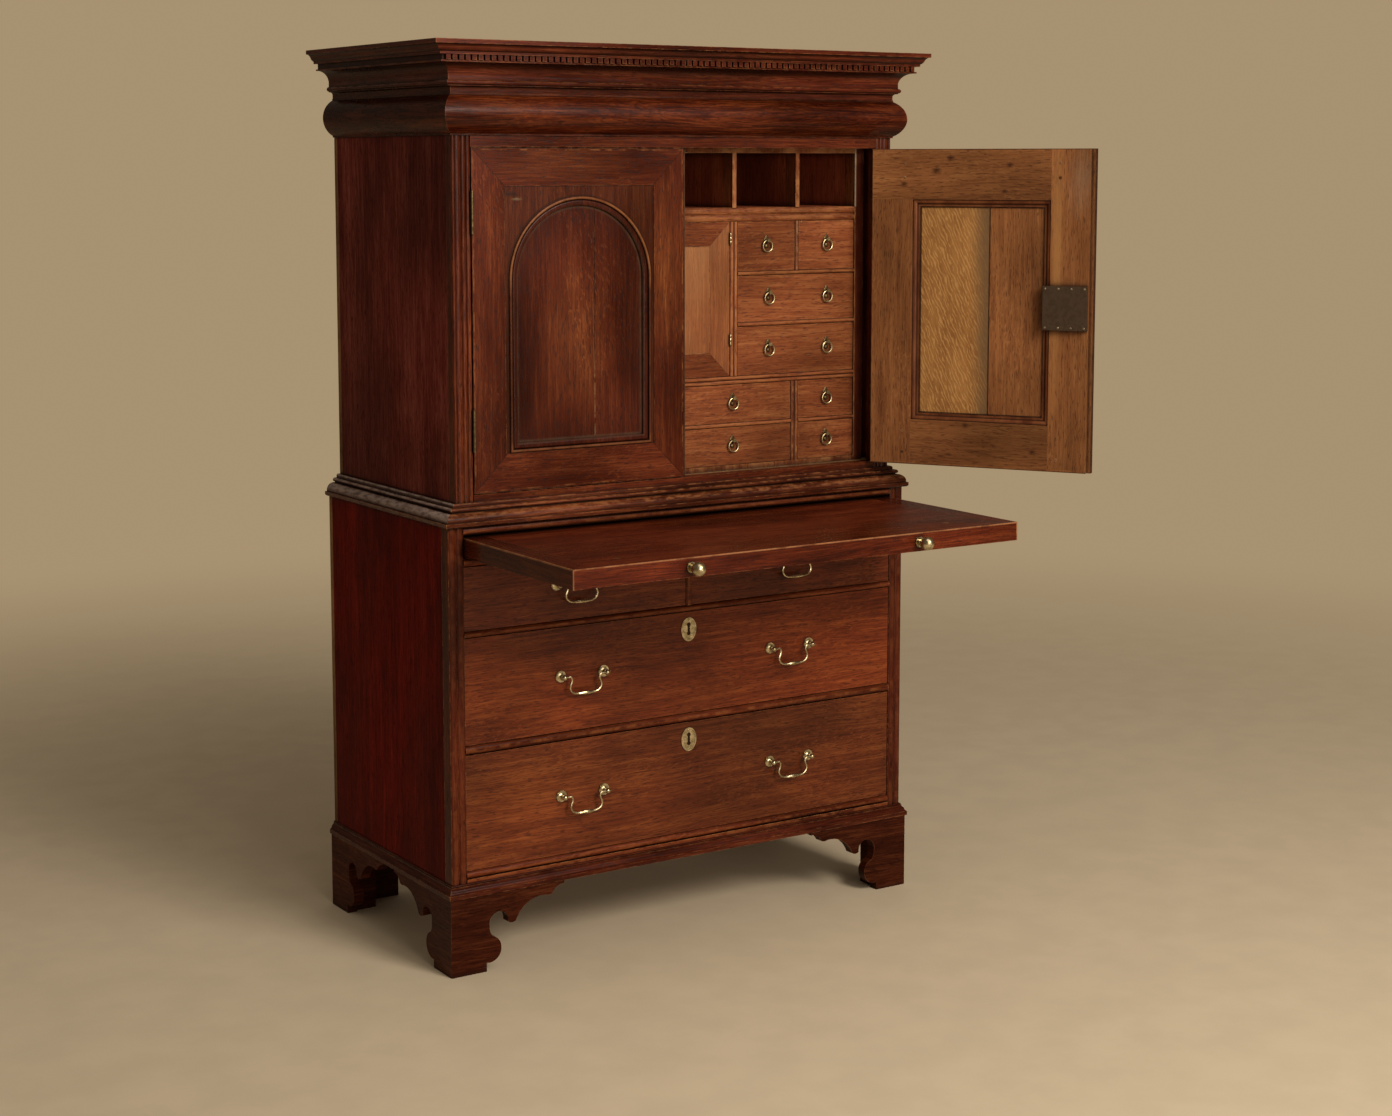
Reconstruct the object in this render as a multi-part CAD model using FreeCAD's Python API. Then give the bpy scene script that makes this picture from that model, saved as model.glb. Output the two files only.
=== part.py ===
import FreeCAD
import Part
import math
import os

V = FreeCAD.Vector

# Cabinet on chest, in mm. x is to the right of the middle, y goes back from the chest's front, z is up.

# Chest carcass
chest_wide = 1066.0
chest_deep = 534.0
chest_base = 152.0
board = 20.0
back_thick = 12.0
chest_stile_wide = 31.5
stile_deep = 30.0
chest_stile_beads = (0.5, 0.5)
groove_deep = 2.6

# Chest front from the floor up: rails and the openings between them
rail_floor = 184.0
bottom_rail_high = 15.0
lower_drawer_high = 225.0
long_rail_high = 18.0
upper_drawer_high = 206.0
short_rail_high = 13.0
short_drawer_high = 123.0
slide_rail_high = 18.0
slide_slot_high = 41.0
top_rail_high = 17.0
rail_deep = 60.0
rail_bead_rise = 7.0
dust_thick = 12.0
housing_deep = 7.0
guide_high = 24.0
divider_wide = 12.0

# Bracket feet and base moulding
foot_out = 8.5
foot_thick = 21.0
foot_sole = 75.0
foot_heel = 17.0
foot_ball = (88.0, 68.0)
foot_bulge = 25.5
foot_neck = (82.0, 87.0)
foot_neck_rise = 2.0
foot_notch = (102.0, 114.0)
foot_notch_rise = (8.0, 7.5)
foot_lobe = (122.0, 90.0)
foot_lobe_wide = 17.0
foot_lobe_rise = 2.5
foot_arch = (204.0, 129.0)
foot_arch_rise = 13.0
foot_step = 15.0
foot_step_rise = 1.5
foot_tip = (246.0, 145.0)
foot_tip_rise = 5.0
foot_back_long = 120.0
foot_block = 46.0
base_lip = 12.0
base_members = (("fillet", 12.0, 8.0), ("cyma", 3.5, 11.0), ("fillet", 3.5, 2.5), ("bead", 1.0, 3.5))

# Upper cabinet carcass, each height above the one before
cabinet_set_in = 25.0
cabinet_front = 18.7
cabinet_stile_wide = 38.8
cabinet_stile_beads = (0.16, 0.34, 0.25, 0.25)
cabinet_stile_deep = 24.0
base_rail_high = 56.0
door_high = 649.0
head_rail_high = 21.0
cabinet_board = 18.0
cornice_board = 16.0

# Mouldings round the cabinet, each member as kind, projection at its top, height
waist_lip_front = 27.9
waist_lip_side = 34.2
waist_foot = 25.4
waist_members = (
    ("slope", 27.9, 2.5), ("fillet", 27.9, 6.5), ("fillet", 24.5, 1.0), ("ovolo", 13.0, 16.0),
    ("fillet", 10.0, 1.5), ("bead", 10.0, 8.0), ("fillet", 6.5, 4.5), ("cove", 3.0, 3.0),
)
frieze_members = (("fillet", 3.0, 3.0), ("cushion", 21.0, 71.0), ("fillet", 3.0, 3.0))
cornice_foot = (
    ("fillet", 2.0, 8.0), ("cove", 9.0, 5.0), ("fillet", 10.0, 1.5), ("bead", 10.0, 9.0),
    ("fillet", 10.0, 4.5), ("cove", 31.0, 27.0), ("fillet", 37.0, 3.0),
)
dentil_bed = ("fillet", 33.0, 10.5)
cornice_crown = (("fillet", 42.0, 4.5), ("cyma", 55.0, 14.0), ("fillet", 58.0, 8.0))
mitre_reach = 150.0
dentil_pitch = 13.3
dentil_wide = 8.8
dentil_deep = 7.0
dentil_back = 1.5
dentil_gap = 0.5

# Doors
door_gap = 1.5
door_thick = 20.0
door_stile_front = 69.0
door_stile_back = 88.0
door_rail_top_front = 71.0
door_rail_base_front = 72.0
door_rail_top_back = 102.0
door_rail_base_back = 93.0
door_lap = 10.0
panel_thick = 5.0
panel_splits = (0.6, 0.55)
panel_crack = 0.8
spandrel_thick = 4.0
arch_side_gap = 8.0
arch_head_gap = 20.0
arch_foot_gap = 1.0
arch_band = 18.0
arch_proud = 3.5
arch_bead = 6.0
arch_bead_round = 2.6
arch_quirk = 2.0
arch_hollow_round = 4.2
back_bead = 9.0
back_bead_high = 7.5
back_bead_round = 5.5
back_step = 6.0
back_step_high = 2.8
meeting_rebate = 9.0
rebate_gap = 0.4
right_door_open = 122.0

# Butt hinges
hinge_tall = 80.0
hinge_inset = 81.0
knuckle_r = 3.2
hinge_pin_r = 1.4
pin_clear = 0.05
knuckle_clear = 0.3
leaf_thick = 1.5
leaf_deep = 15.0
pivot_out = 3.6

# Lock on the right door
lock_size = (90.0, 11.0, 88.0)
lock_lift = 7.0
lock_edge = 0.5

# Writing slide
slide_thick = 36.0
slide_deep = 500.0
slide_out = 405.0
slide_clamp = 46.0
slide_clear = 1.0
knob_share = 0.515
knob_r = 13.2
knob_neck_r = 5.5
knob_neck = 9.0
knob_rose_r = 10.0
knob_rose = 2.0

# Drawers of the chest
drawer_set_back = 4.0
fit = 1.0
run_clear = 0.5
drawer_back_gap = 42.0
drawer_front = 22.0
drawer_side = 12.0
drawer_bottom = 9.0
drawer_lap = 7.0
bottom_lift = 3.0
back_drop = 10.0
tail_pitch = 46.0
tail_root = 0.45
tail_tip = 0.65

# Drop handles of the chest
bail_half = 48.0
bail_drop = 34.0
bail_r = 2.2
bail_grip_r = 4.2
bail_grip = 38.0
bail_pin_r = 2.2
bail_out = 15.0
bail_pin = 9.0
# the wire's bends as shares of the half span inwards and of the drop
bail_bends = ((0.33, 0.04), (0.36, 0.17), (0.27, 0.6), (0.37, 0.89), (0.56, 1.0))
rose_r = 11.5
rose_thick = 3.0
post_r = 3.6
post_ball_r = 5.6
long_handle_share = 0.49
lower_handle_up = 0.515
upper_handle_up = 0.53
short_handle_up = 0.575
plate_wide = 35.5
plate_tall = 48.0
plate_thick = 1.6
plate_rim = 3.0
plate_sink = 0.5
key_r = 4.4
key_slot = 5.6
key_up = 9.5
key_drop = 8.0
plate_down = 36.0
drawer_lock = (62.0, 10.0, 46.0)

# Fitted interior of the cabinet, rows from the floor up
nest_front = 60.0
nest_back_gap = 54.0
nest_side = 22.2
nest_back = 8.0
nest_board = 10.0
base_row_high = 77.5
low_rail_high = 8.5
low_row_high = 78.0
middle_shelf_high = 17.0
row_three_high = 99.0
row_rail = 9.0
row_two_high = 94.0
row_one_high = 100.0
shelf_high = 28.0
cell_wall = 9.0
cupboard_half = 136.6
post_wide = 19.0
low_split_share = 0.664
nest_set_back = 2.5
nest_fit = 0.7
small_front = 12.0
small_side = 7.0
small_bottom = 5.0
small_lap = 4.0
small_bottom_lift = 2.0
small_back_drop = 6.0
cupboard_door_thick = 16.0
cupboard_frame = 48.0
nest_groove = 2.5

# Ring pulls
ring_r = 11.5
ring_wire = 1.5
ring_out = 5.5
ring_post_r = 3.8
ring_bore_r = 2.4
ring_post_end = 3.9
wire_sides = 8
bail_steps = 34
wide_pull_at = (0.26, 0.76)
centre_pull_at = (0.25, 0.75)

# Sizes that follow
cabinet_wide = chest_wide - 2 * cabinet_set_in
half = chest_wide / 2
half_up = cabinet_wide / 2
opening_half = half - chest_stile_wide
lower_floor = rail_floor + bottom_rail_high
long_rail_floor = lower_floor + lower_drawer_high
upper_floor = long_rail_floor + long_rail_high
short_rail_floor = upper_floor + upper_drawer_high
short_floor = short_rail_floor + short_rail_high
slide_rail_floor = short_floor + short_drawer_high
slot_floor = slide_rail_floor + slide_rail_high
top_rail_floor = slot_floor + slide_slot_high
chest_top = top_rail_floor + top_rail_high
chest_back = chest_deep - back_thick
inner_half = half - board
drawer_deep = chest_back - drawer_back_gap
drawer_long = drawer_deep - drawer_set_back
door_edge = half_up - cabinet_stile_wide
door_floor = chest_top + base_rail_high
door_head = door_floor + door_high
frieze_floor = door_head + head_rail_high
frieze_head = frieze_floor + sum(m[2] for m in frieze_members)
dentil_floor = frieze_head + sum(m[2] for m in cornice_foot)
cornice_members = (*cornice_foot, dentil_bed, *cornice_crown)
total_high = frieze_head + sum(m[2] for m in cornice_members)
cornice_out = max(m[1] for m in cornice_members)
pivot_x = door_edge - door_gap / 2
pivot_y = cabinet_front - pivot_out
door_back = cabinet_front + door_thick
hinge_at = (door_floor + hinge_inset, door_head - hinge_inset - hinge_tall)
lock_floor = (door_floor + door_head - lock_size[2]) / 2 + lock_lift
nest_end = chest_back - nest_back_gap - nest_back
nest_face = nest_front + nest_set_back
nest_half = door_edge - nest_side
nest_floor = door_floor + nest_board
low_rail = (nest_floor + base_row_high, nest_floor + base_row_high + low_rail_high)
middle_shelf = (low_rail[1] + low_row_high, low_rail[1] + low_row_high + middle_shelf_high)
row_three = (middle_shelf[1], middle_shelf[1] + row_three_high)
row_two = (row_three[1] + row_rail, row_three[1] + row_rail + row_two_high)
row_one = (row_two[1] + row_rail, row_two[1] + row_rail + row_one_high)
shelf_floor = row_one[1]
cell_floor = shelf_floor + shelf_high
post_out = cupboard_half + post_wide
bank_mid = (post_out + nest_half) / 2
bank_split = (bank_mid - cell_wall / 2, bank_mid + cell_wall / 2)
low_mid = nest_half * low_split_share
low_split = (low_mid - post_wide / 2, low_mid + post_wide / 2)
cell_wall_x = (cupboard_half + post_wide / 2, bank_mid)

# Frame: floor, and the middle of the photographed pose's bounding box
swing = math.radians(right_door_open)
tip_x = pivot_x - (pivot_x - door_gap / 2) * math.cos(swing) - pivot_out * math.sin(swing)
origin_x = (tip_x - half_up - cornice_out) / 2
origin_y = (chest_deep - slide_out - knob_rose - knob_neck - 2 * knob_r) / 2


def box(x0, x1, y0, y1, z0, z1):
    return Part.makeBox(x1 - x0, y1 - y0, z1 - z0, V(x0, y0, z0))


def edge(p, q, bow, lift):
    # straight for bow 0, else an arc whose rise is bow times the chord, to the left of p to q
    if not bow:
        return Part.LineSegment(lift(*p), lift(*q)).toShape()
    mid = ((p[0] + q[0]) / 2 - bow * (q[1] - p[1]), (p[1] + q[1]) / 2 + bow * (q[0] - p[0]))
    return Part.Arc(lift(*p), lift(*mid), lift(*q)).toShape()


def prism_face(start, steps, lift):
    # steps are u, v and optional bow; the outline closes to its start
    edges = []
    here = start
    for step in list(steps) + [start]:
        there = (step[0], step[1])
        if math.dist(here, there) > 1e-6:
            edges.append(edge(here, there, step[2] if len(step) > 2 else 0, lift))
            here = there
    return Part.Face(Part.Wire(edges))


def prism(start, steps, lift, sweep):
    return prism_face(start, steps, lift).extrude(sweep)


def in_xz(y):
    return lambda u, v: V(u, y, v)


def in_yz(x):
    return lambda u, v: V(x, u, v)


def in_xy(z):
    return lambda u, v: V(u, v, z)


def on_plane(shape, y):
    return [e for e in shape.Edges if all(abs(v.Y - y) < 1e-6 for v in e.Vertexes)]


def mirrored(shape):
    return shape.mirror(V(0, 0, 0), V(1, 0, 0))


quarter = math.tan(math.pi / 8) / 2
half_round = 0.5


def bead_row(low, high, face, back, beads, groove):
    # outline steps of a strip with rounded beads side by side on its face: start, steps
    steps = [(low, face + groove)]
    at = low
    for share in beads:
        wide = (high - low) * share
        at = at + wide
        steps.append((at, face + groove, -groove / wide))
    return (low, back), steps + [(high, back)]


def beaded_post(x0, x1, face, back, z0, z1, beads, groove):
    start, steps = bead_row(x0, x1, face, back, beads, groove)
    return prism(start, steps, in_xy(z0), V(0, 0, z1 - z0))


def beaded_rail(x0, x1, face, back, z0, z1, beads, groove):
    start, steps = bead_row(z0, z1, face, back, beads, groove)
    turn = lambda u, v: V(x0, v, u)
    return prism(start, steps, turn, V(x1 - x0, 0, 0))


def moulding_steps(members, floor, base):
    # classical members stacked upwards; each rises to its own projection
    out, z = base, floor
    steps = [(out, z)]
    for kind, far, high in members:
        top = z + high
        if kind == "fillet":
            steps += [(far, z), (far, top)]
        elif kind == "slope":
            steps += [(far, top)]
        elif kind == "cove":
            steps += [(far, top, quarter if far > out else -quarter)]
        elif kind == "ovolo":
            steps += [(far, top, -quarter)]
        elif kind == "bead":
            steps += [(far, z), (far, top, -half_round)]
        elif kind == "cushion":
            steps += [(out, top, -far / high)]
            far = out
        elif kind == "cyma":
            mid = ((out + far) / 2, (z + top) / 2)
            turn = quarter / 2 if far > out else -quarter / 2
            steps += [(*mid, -turn), (far, top, turn)]
        out, z = far, top
    return steps, z


def mitred_runs(members, wide, front, back, floor, base, side_scale=1.0):
    # a front run and two side returns, cut together on the line from the carcass corner outwards
    steps, top = moulding_steps(members, floor, base)
    steps = steps + [(0, top)]
    side_steps = [(s[0] * side_scale, *s[1:]) for s in steps]
    left = -wide / 2
    corner, far = (left, front), (left - mitre_reach * side_scale, front - mitre_reach)
    opposite = lambda p: (-p[0], p[1])
    run = prism(
        (0, floor), steps, lambda o, z: V(far[0], front - o, z), V(-2 * far[0], 0, 0)
    )
    keep = prism(corner, [far, opposite(far), opposite(corner)], in_xy(floor), V(0, 0, top - floor))
    side = prism(
        (0, floor), side_steps, lambda o, z: V(left - o, far[1], z), V(0, back - far[1], 0)
    )
    side_keep = prism(corner, [(left, back), (far[0], back), far], in_xy(floor), V(0, 0, top - floor))
    side = side.common(side_keep)
    return [run.common(keep), side, mirrored(side)]


def drawer(x0, x1, z0, z1, face, deep, front, side, bottom, lap, lift, drop):
    # lapped dovetails: tails on the sides widen towards the front and fill sockets in its ends
    count = max(1, int((z1 - z0) / tail_pitch))
    pitch = (z1 - z0) / count
    head, end = face + lap, face + deep
    shoulder = face + front
    left = box(x0, x0 + side, shoulder, end, z0, z1)
    for n in range(count):
        mid = z0 + (n + 0.5) * pitch
        root, tip = pitch * tail_root / 2, pitch * tail_tip / 2
        tail = prism(
            (shoulder, mid - root), [(head, mid - tip), (head, mid + tip), (shoulder, mid + root)],
            in_yz(x0), V(side, 0, 0),
        )
        left = left.fuse(tail)
    left = left.removeSplitter()
    right = left.mirror(V((x0 + x1) / 2, 0, 0), V(1, 0, 0))
    face_board = box(x0, x1, face, shoulder, z0, z1).cut(left).cut(right)
    floor = box(x0 + side, x1 - side, shoulder, end, z0 + lift, z0 + lift + bottom)
    back = box(x0 + side, x1 - side, end - side, end, z0 + lift + bottom, z1 - drop)
    return [face_board, left, right, floor, back]


def chest_drawer(x0, x1, z0, z1):
    return drawer(
        x0 + fit, x1 - fit, z0 + run_clear, z1 - fit, drawer_set_back, drawer_long, drawer_front,
        drawer_side, drawer_bottom, drawer_lap, bottom_lift, back_drop,
    )


def pull_post(x, z):
    # a shank with a cross bore for the ring
    shank = Part.makeCylinder(
        ring_post_r, ring_out + ring_post_end, V(x, nest_face, z), V(0, -1, 0)
    )
    bore = Part.makeCylinder(
        ring_bore_r, 4 * ring_post_r, V(x - 2 * ring_post_r, nest_face - ring_out, z), V(1, 0, 0)
    )
    return shank.cut(bore)


def wire_section(centre, across, up, r):
    # a wire's round drawn as a regular polygon
    turns = [2 * math.pi * n / wire_sides for n in range(wire_sides)]
    points = [centre + across * (r * math.cos(a)) + up * (r * math.sin(a)) for a in turns]
    return Part.makePolygon(points + points[:1])


def ring(x, z):
    hub = V(x, nest_face - ring_out, z - ring_r)
    section = wire_section(hub + V(ring_r, 0, 0), V(1, 0, 0), V(0, 1, 0), ring_wire)
    return Part.Face(section).revolve(hub, V(0, 1, 0), 360)


def small_drawer(x0, x1, z0, z1, pulls):
    mid = (z0 + z1) / 2 + ring_r
    solids = drawer(
        x0 + nest_fit, x1 - nest_fit, z0 + run_clear, z1 - nest_fit, nest_face,
        nest_end - nest_face - nest_fit, small_front, small_side, small_bottom, small_lap,
        small_bottom_lift, small_back_drop,
    )
    at = [x0 + (x1 - x0) * share for share in pulls]
    return solids + [pull_post(x, mid) for x in at], [ring(x, mid) for x in at]


def bail(x, z):
    # a pin in each post, a crook turned down, an arm bowed outwards, a rounded corner, a swelled grip
    lift = in_xz(drawer_set_back - bail_out)
    post = x - bail_half
    pin = Part.makeCylinder(bail_pin_r, bail_pin + post_ball_r, lift(post - post_ball_r, z), V(1, 0, 0))
    arm = [(bail_pin / bail_half, 0), *bail_bends]
    bends = arm + [(1, 1)] + [(2 - u, v) for u, v in reversed(arm)]
    wire = Part.BSplineCurve()
    wire.interpolate([lift(post + bail_half * u, z - bail_drop * v) for u, v in bends])
    sections = []
    for n in range(bail_steps + 1):
        at = wire.FirstParameter + (wire.LastParameter - wire.FirstParameter) * n / bail_steps
        centre = wire.value(at)
        along = wire.tangent(at)[0]
        swell = max(0, 1 - abs(centre.x - x) / (bail_grip / 2))
        r = bail_r + (bail_grip_r - bail_r) * math.sin(swell * math.pi / 2) ** 2
        sections.append(wire_section(centre, V(0, 1, 0), along.cross(V(0, 1, 0)), r))
    return pin.fuse([pin.mirror(V(x, 0, 0), V(1, 0, 0)), Part.makeLoft(sections, True, True)]).removeSplitter()


def handle_mounts(x, z):
    # a turned rose, a stem and a ball at each end of the handle, bored for its pins
    solids = []
    ball_y = drawer_set_back - bail_out
    for side in (-1, 1):
        at = x + side * bail_half
        profile = prism_face(
            (0, 0),
            [
                (rose_r, 0), (rose_r, rose_thick / 2), (post_r, rose_thick, quarter / 2),
                (post_r, bail_out), (0, bail_out),
            ],
            lambda r, o: V(at + r, drawer_set_back - o, z),
        )
        turned = profile.revolve(V(at, 0, z), V(0, -1, 0), 360)
        ball = Part.makeSphere(post_ball_r, V(at, ball_y, z))
        bore = Part.makeCylinder(
            bail_pin_r + pin_clear, 4 * post_ball_r, V(at - 2 * post_ball_r, ball_y, z), V(1, 0, 0)
        )
        solids.append(turned.fuse(ball).cut(bore))
    return solids


def key_plate(z):
    # an oval plate sunk inside its rim; the keyhole is a round eye, a slot and a round foot
    y = drawer_set_back
    front = y - plate_thick

    def oval(inset, y0, deep):
        edge = Part.Ellipse(
            V(0, y0, z + plate_tall / 2 - inset), V(plate_wide / 2 - inset, y0, z), V(0, y0, z)
        )
        return Part.Face(Part.Wire([edge.toShape()])).extrude(V(0, deep, 0))

    rounds = [
        Part.makeCylinder(key_r, plate_thick, V(0, front, z + dz), V(0, 1, 0)) for dz in (key_up, -key_drop)
    ]
    slot = box(-key_slot / 2, key_slot / 2, front, y, z - key_drop, z + key_up)
    return oval(0, front, plate_thick).cut(oval(plate_rim, front, plate_sink)).cut(slot.fuse(rounds))


def lock_box(z):
    wide, deep, tall = drawer_lock
    y = drawer_set_back + drawer_front
    return box(-wide / 2, wide / 2, y, y + deep, z - tall / 2, z + tall / 2)


parts = {}

# Chest: sides with housings, beaded face frame, dust boards, guides, back, top
floors = (lower_floor, upper_floor, short_floor, slot_floor)
dust = [
    box(-inner_half - housing_deep, inner_half + housing_deep, rail_deep, chest_back, z - dust_thick, z)
    for z in floors
]
top_board = box(-inner_half - housing_deep, inner_half + housing_deep, stile_deep, chest_back,
                top_rail_floor, chest_top)
side = box(-half, -inner_half, stile_deep, chest_deep, chest_base, chest_top)
for part in dust + [top_board]:
    side = side.cut(part)
parts["chest_sides"] = [side, mirrored(side)]
parts["chest_dust_boards"] = dust
rails = [
    beaded_rail(-opening_half, opening_half, 0, back, z, z + high, (1.0,), rail_bead_rise)
    for z, high, back in (
        (rail_floor, bottom_rail_high, rail_deep), (long_rail_floor, long_rail_high, rail_deep),
        (short_rail_floor, short_rail_high, rail_deep), (slide_rail_floor, slide_rail_high, rail_deep),
        (top_rail_floor, top_rail_high, stile_deep),
    )
]
stile = beaded_post(
    -half, -opening_half, 0, stile_deep, chest_base, chest_top, chest_stile_beads, groove_deep
)
divider = beaded_post(-divider_wide / 2, divider_wide / 2, 0, rail_deep, short_floor, slide_rail_floor,
                      (1.0,), groove_deep)
apron = box(-opening_half, opening_half, 0, board, chest_base, rail_floor)
parts["chest_front_frame"] = rails + [stile, mirrored(stile), divider, apron]
guides = []
for z in floors[:3]:
    strip = box(-inner_half, -opening_half, rail_deep, chest_back, z, z + guide_high)
    guides += [strip, mirrored(strip)]
guides.append(
    box(-divider_wide / 2, divider_wide / 2, rail_deep, chest_back, short_floor, short_floor + guide_high)
)
slide_guide = box(-inner_half, -opening_half, stile_deep, chest_back, slot_floor, top_rail_floor)
parts["drawer_guides"] = guides + [slide_guide, mirrored(slide_guide)]
parts["chest_back"] = [box(-inner_half, inner_half, chest_back, chest_deep, chest_base, chest_top)]
parts["chest_top"] = [top_board]

# Bracket feet: sawn outline, mitred at the front corners, square behind, with corner blocks
curves = (
    (foot_ball, -foot_bulge), (foot_neck, foot_neck_rise),
    (foot_notch, foot_notch_rise[0]), (foot_lobe, foot_notch_rise[1]),
    ((foot_lobe[0] + foot_lobe_wide, foot_lobe[1]), -foot_lobe_rise), (foot_arch, foot_arch_rise),
    ((foot_arch[0] + foot_step, foot_arch[1]), -foot_step_rise), (foot_tip, foot_tip_rise),
)
outline = [(foot_sole, 0), (foot_sole, foot_heel)]
for there, rise in curves:
    outline.append((*there, rise / math.dist(outline[-1][:2], there)))
outline += [(foot_tip[0], chest_base), (0, chest_base)]
face_x, face_y = half + foot_out, -foot_out
far = 2 * foot_tip[0]
front_board = prism((0, 0), outline, lambda u, v: V(-face_x + u, face_y, v), V(0, foot_thick, 0))
side_board = prism((0, 0), outline, lambda u, v: V(-face_x, face_y + u, v), V(foot_thick, 0, 0))
corner = (-face_x, face_y)
far_x, far_y = far - face_x, face_y + far
front_keep = prism(corner, [(far_x, face_y), (far_x, far_y)], in_xy(0), V(0, 0, chest_base))
side_keep = prism(corner, [(far_x, far_y), (-face_x, far_y)], in_xy(0), V(0, 0, chest_base))
front_foot = front_board.common(front_keep)
side_foot = side_board.common(side_keep)
rear_side = prism((0, 0), outline, lambda u, v: V(-face_x, chest_deep - u, v), V(foot_thick, 0, 0))
rear_back = prism(
    (0, 0), [(foot_back_long, 0), (foot_back_long, chest_base), (0, chest_base)],
    lambda u, v: V(-face_x + foot_thick + u, chest_deep - foot_thick, v), V(0, foot_thick, 0),
)
inside = -face_x + foot_thick
blocks = [
    box(inside, inside + foot_block, y, y + foot_block, 0, chest_base)
    for y in (face_y + foot_thick, chest_deep - foot_thick - foot_block)
]
feet = [front_foot, side_foot, rear_side, rear_back] + blocks
parts["bracket_feet"] = feet + [mirrored(s) for s in feet]
parts["base_moulding"] = mitred_runs(base_members, chest_wide, 0, chest_deep, chest_base, base_lip)

# Cabinet carcass, waist moulding, frieze and cornice
parts["waist_moulding"] = mitred_runs(
    waist_members, cabinet_wide, cabinet_front, chest_deep, chest_top,
    waist_foot, waist_lip_side / waist_lip_front,
)
inner_up = half_up - cabinet_board
stile_back = cabinet_front + cabinet_stile_deep
floor_board = box(-inner_up - housing_deep, inner_up + housing_deep, stile_back, chest_back,
                  door_floor - cabinet_board, door_floor)
head_board = floor_board.translated(V(0, 0, frieze_floor - door_floor + cabinet_board))
side = box(-half_up, -inner_up, stile_back, chest_deep, chest_top, frieze_head)
side = side.cut(floor_board).cut(head_board)
parts["cabinet_sides"] = [side, mirrored(side)]
parts["cabinet_boards"] = [floor_board, head_board]
parts["cabinet_back"] = [box(-inner_up, inner_up, chest_back, chest_deep, chest_top, frieze_head)]
parts["cushion_frieze"] = mitred_runs(
    frieze_members, cabinet_wide, cabinet_front, chest_deep, frieze_floor, 0
)
parts["cornice_moulding"] = mitred_runs(
    cornice_members, cabinet_wide, cabinet_front, chest_deep, frieze_head, 0
)
parts["cornice_frame"] = [
    box(-half_up, half_up, cabinet_front, cabinet_front + cornice_board, frieze_head, total_high),
    box(-half_up, half_up, chest_deep - cornice_board, chest_deep, frieze_head, total_high),
    box(-half_up, -half_up + cornice_board, cabinet_front + cornice_board, chest_deep - cornice_board,
        frieze_head, total_high),
    box(half_up - cornice_board, half_up, cabinet_front + cornice_board, chest_deep - cornice_board,
        frieze_head, total_high),
    box(-half_up + cornice_board, half_up - cornice_board, cabinet_front + cornice_board,
        chest_deep - cornice_board, total_high - 2 * cornice_board, total_high - cornice_board),
]

# Dentil strip: one comb of square teeth on a thin back, between its two fillets
dentil_out = dentil_bed[1]
dentil_high = dentil_bed[2] - 2 * dentil_gap
teeth = int((cabinet_wide + 2 * dentil_out) / dentil_pitch)
comb_left = -(teeth - 1) * dentil_pitch / 2 - dentil_wide / 2
comb_back = cabinet_front - dentil_out
comb_face, tooth_face = comb_back - dentil_back, comb_back - dentil_deep
steps = []
for n in range(teeth):
    x = comb_left + n * dentil_pitch
    steps += [(x, tooth_face), (x + dentil_wide, tooth_face), (x + dentil_wide, comb_face)]
    steps.append((x + dentil_pitch, comb_face))
steps[-1] = (steps[-2][0], comb_back)
comb = prism((comb_left, comb_back), steps, in_xy(dentil_floor + dentil_gap), V(0, 0, dentil_high))
parts["dentil_strip"] = [comb]

# Hinges: the door's leaf has the outer knuckles, the carcass leaf the middle one and the pin
third = hinge_tall / 3


def knuckle(z0, z1, bored):
    barrel = Part.makeCylinder(knuckle_r, z1 - z0, V(-pivot_x, pivot_y, z0))
    if bored:
        barrel = barrel.cut(
            Part.makeCylinder(hinge_pin_r + pin_clear, z1 - z0, V(-pivot_x, pivot_y, z0))
        )
    return barrel


door_leaves, fixed_leaves, door_pockets, stile_pockets = [], [], [], []
leaf_mid = -pivot_x
for z in hinge_at:
    spans = [(z, z + third - knuckle_clear), (z + 2 * third + knuckle_clear, z + hinge_tall)]
    inner = (leaf_mid + door_gap / 10, leaf_mid + door_gap / 10 + leaf_thick)
    outer = (-inner[1] + 2 * leaf_mid, -inner[0] + 2 * leaf_mid)
    plate = box(*inner, cabinet_front, cabinet_front + leaf_deep, z, z + hinge_tall)
    door_pockets.append(plate)
    for low, high in spans:
        web = box(*inner, pivot_y + hinge_pin_r + knuckle_clear, cabinet_front, low, high)
        plate = plate.fuse(knuckle(low, high, True)).fuse(web)
    door_leaves.append(plate.removeSplitter())
    fixed = box(*outer, cabinet_front, cabinet_front + leaf_deep, z, z + hinge_tall)
    stile_pockets.append(fixed)
    web = box(*outer, pivot_y, cabinet_front, z + third, z + 2 * third)
    pin = Part.makeCylinder(hinge_pin_r, hinge_tall, V(-pivot_x, pivot_y, z))
    fixed = fixed.fuse([knuckle(z + third, z + 2 * third, False), web, pin])
    fixed_leaves.append(fixed.removeSplitter())
parts["cabinet_hinge_leaves"] = fixed_leaves + [mirrored(s) for s in fixed_leaves]

stile = beaded_post(-half_up, -door_edge, cabinet_front, stile_back, chest_top, frieze_head,
                    cabinet_stile_beads, groove_deep)
for pocket in stile_pockets:
    stile = stile.cut(pocket)
head_rail = box(-door_edge, door_edge, cabinet_front, stile_back, door_head, frieze_head)
base_rail = box(-door_edge, door_edge, cabinet_front, stile_back, chest_top, door_floor)
parts["cabinet_front_frame"] = [stile, mirrored(stile), head_rail, base_rail]


# Doors, made as the left one: mitred in front, square behind, the panel let in from the front
def frame_corners(edge_gap, stile_in, top_in, base_in):
    return (
        -door_edge + edge_gap + stile_in, -door_gap / 2 - stile_in, door_floor + door_gap + base_in,
        door_head - door_gap - top_in,
    )


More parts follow.
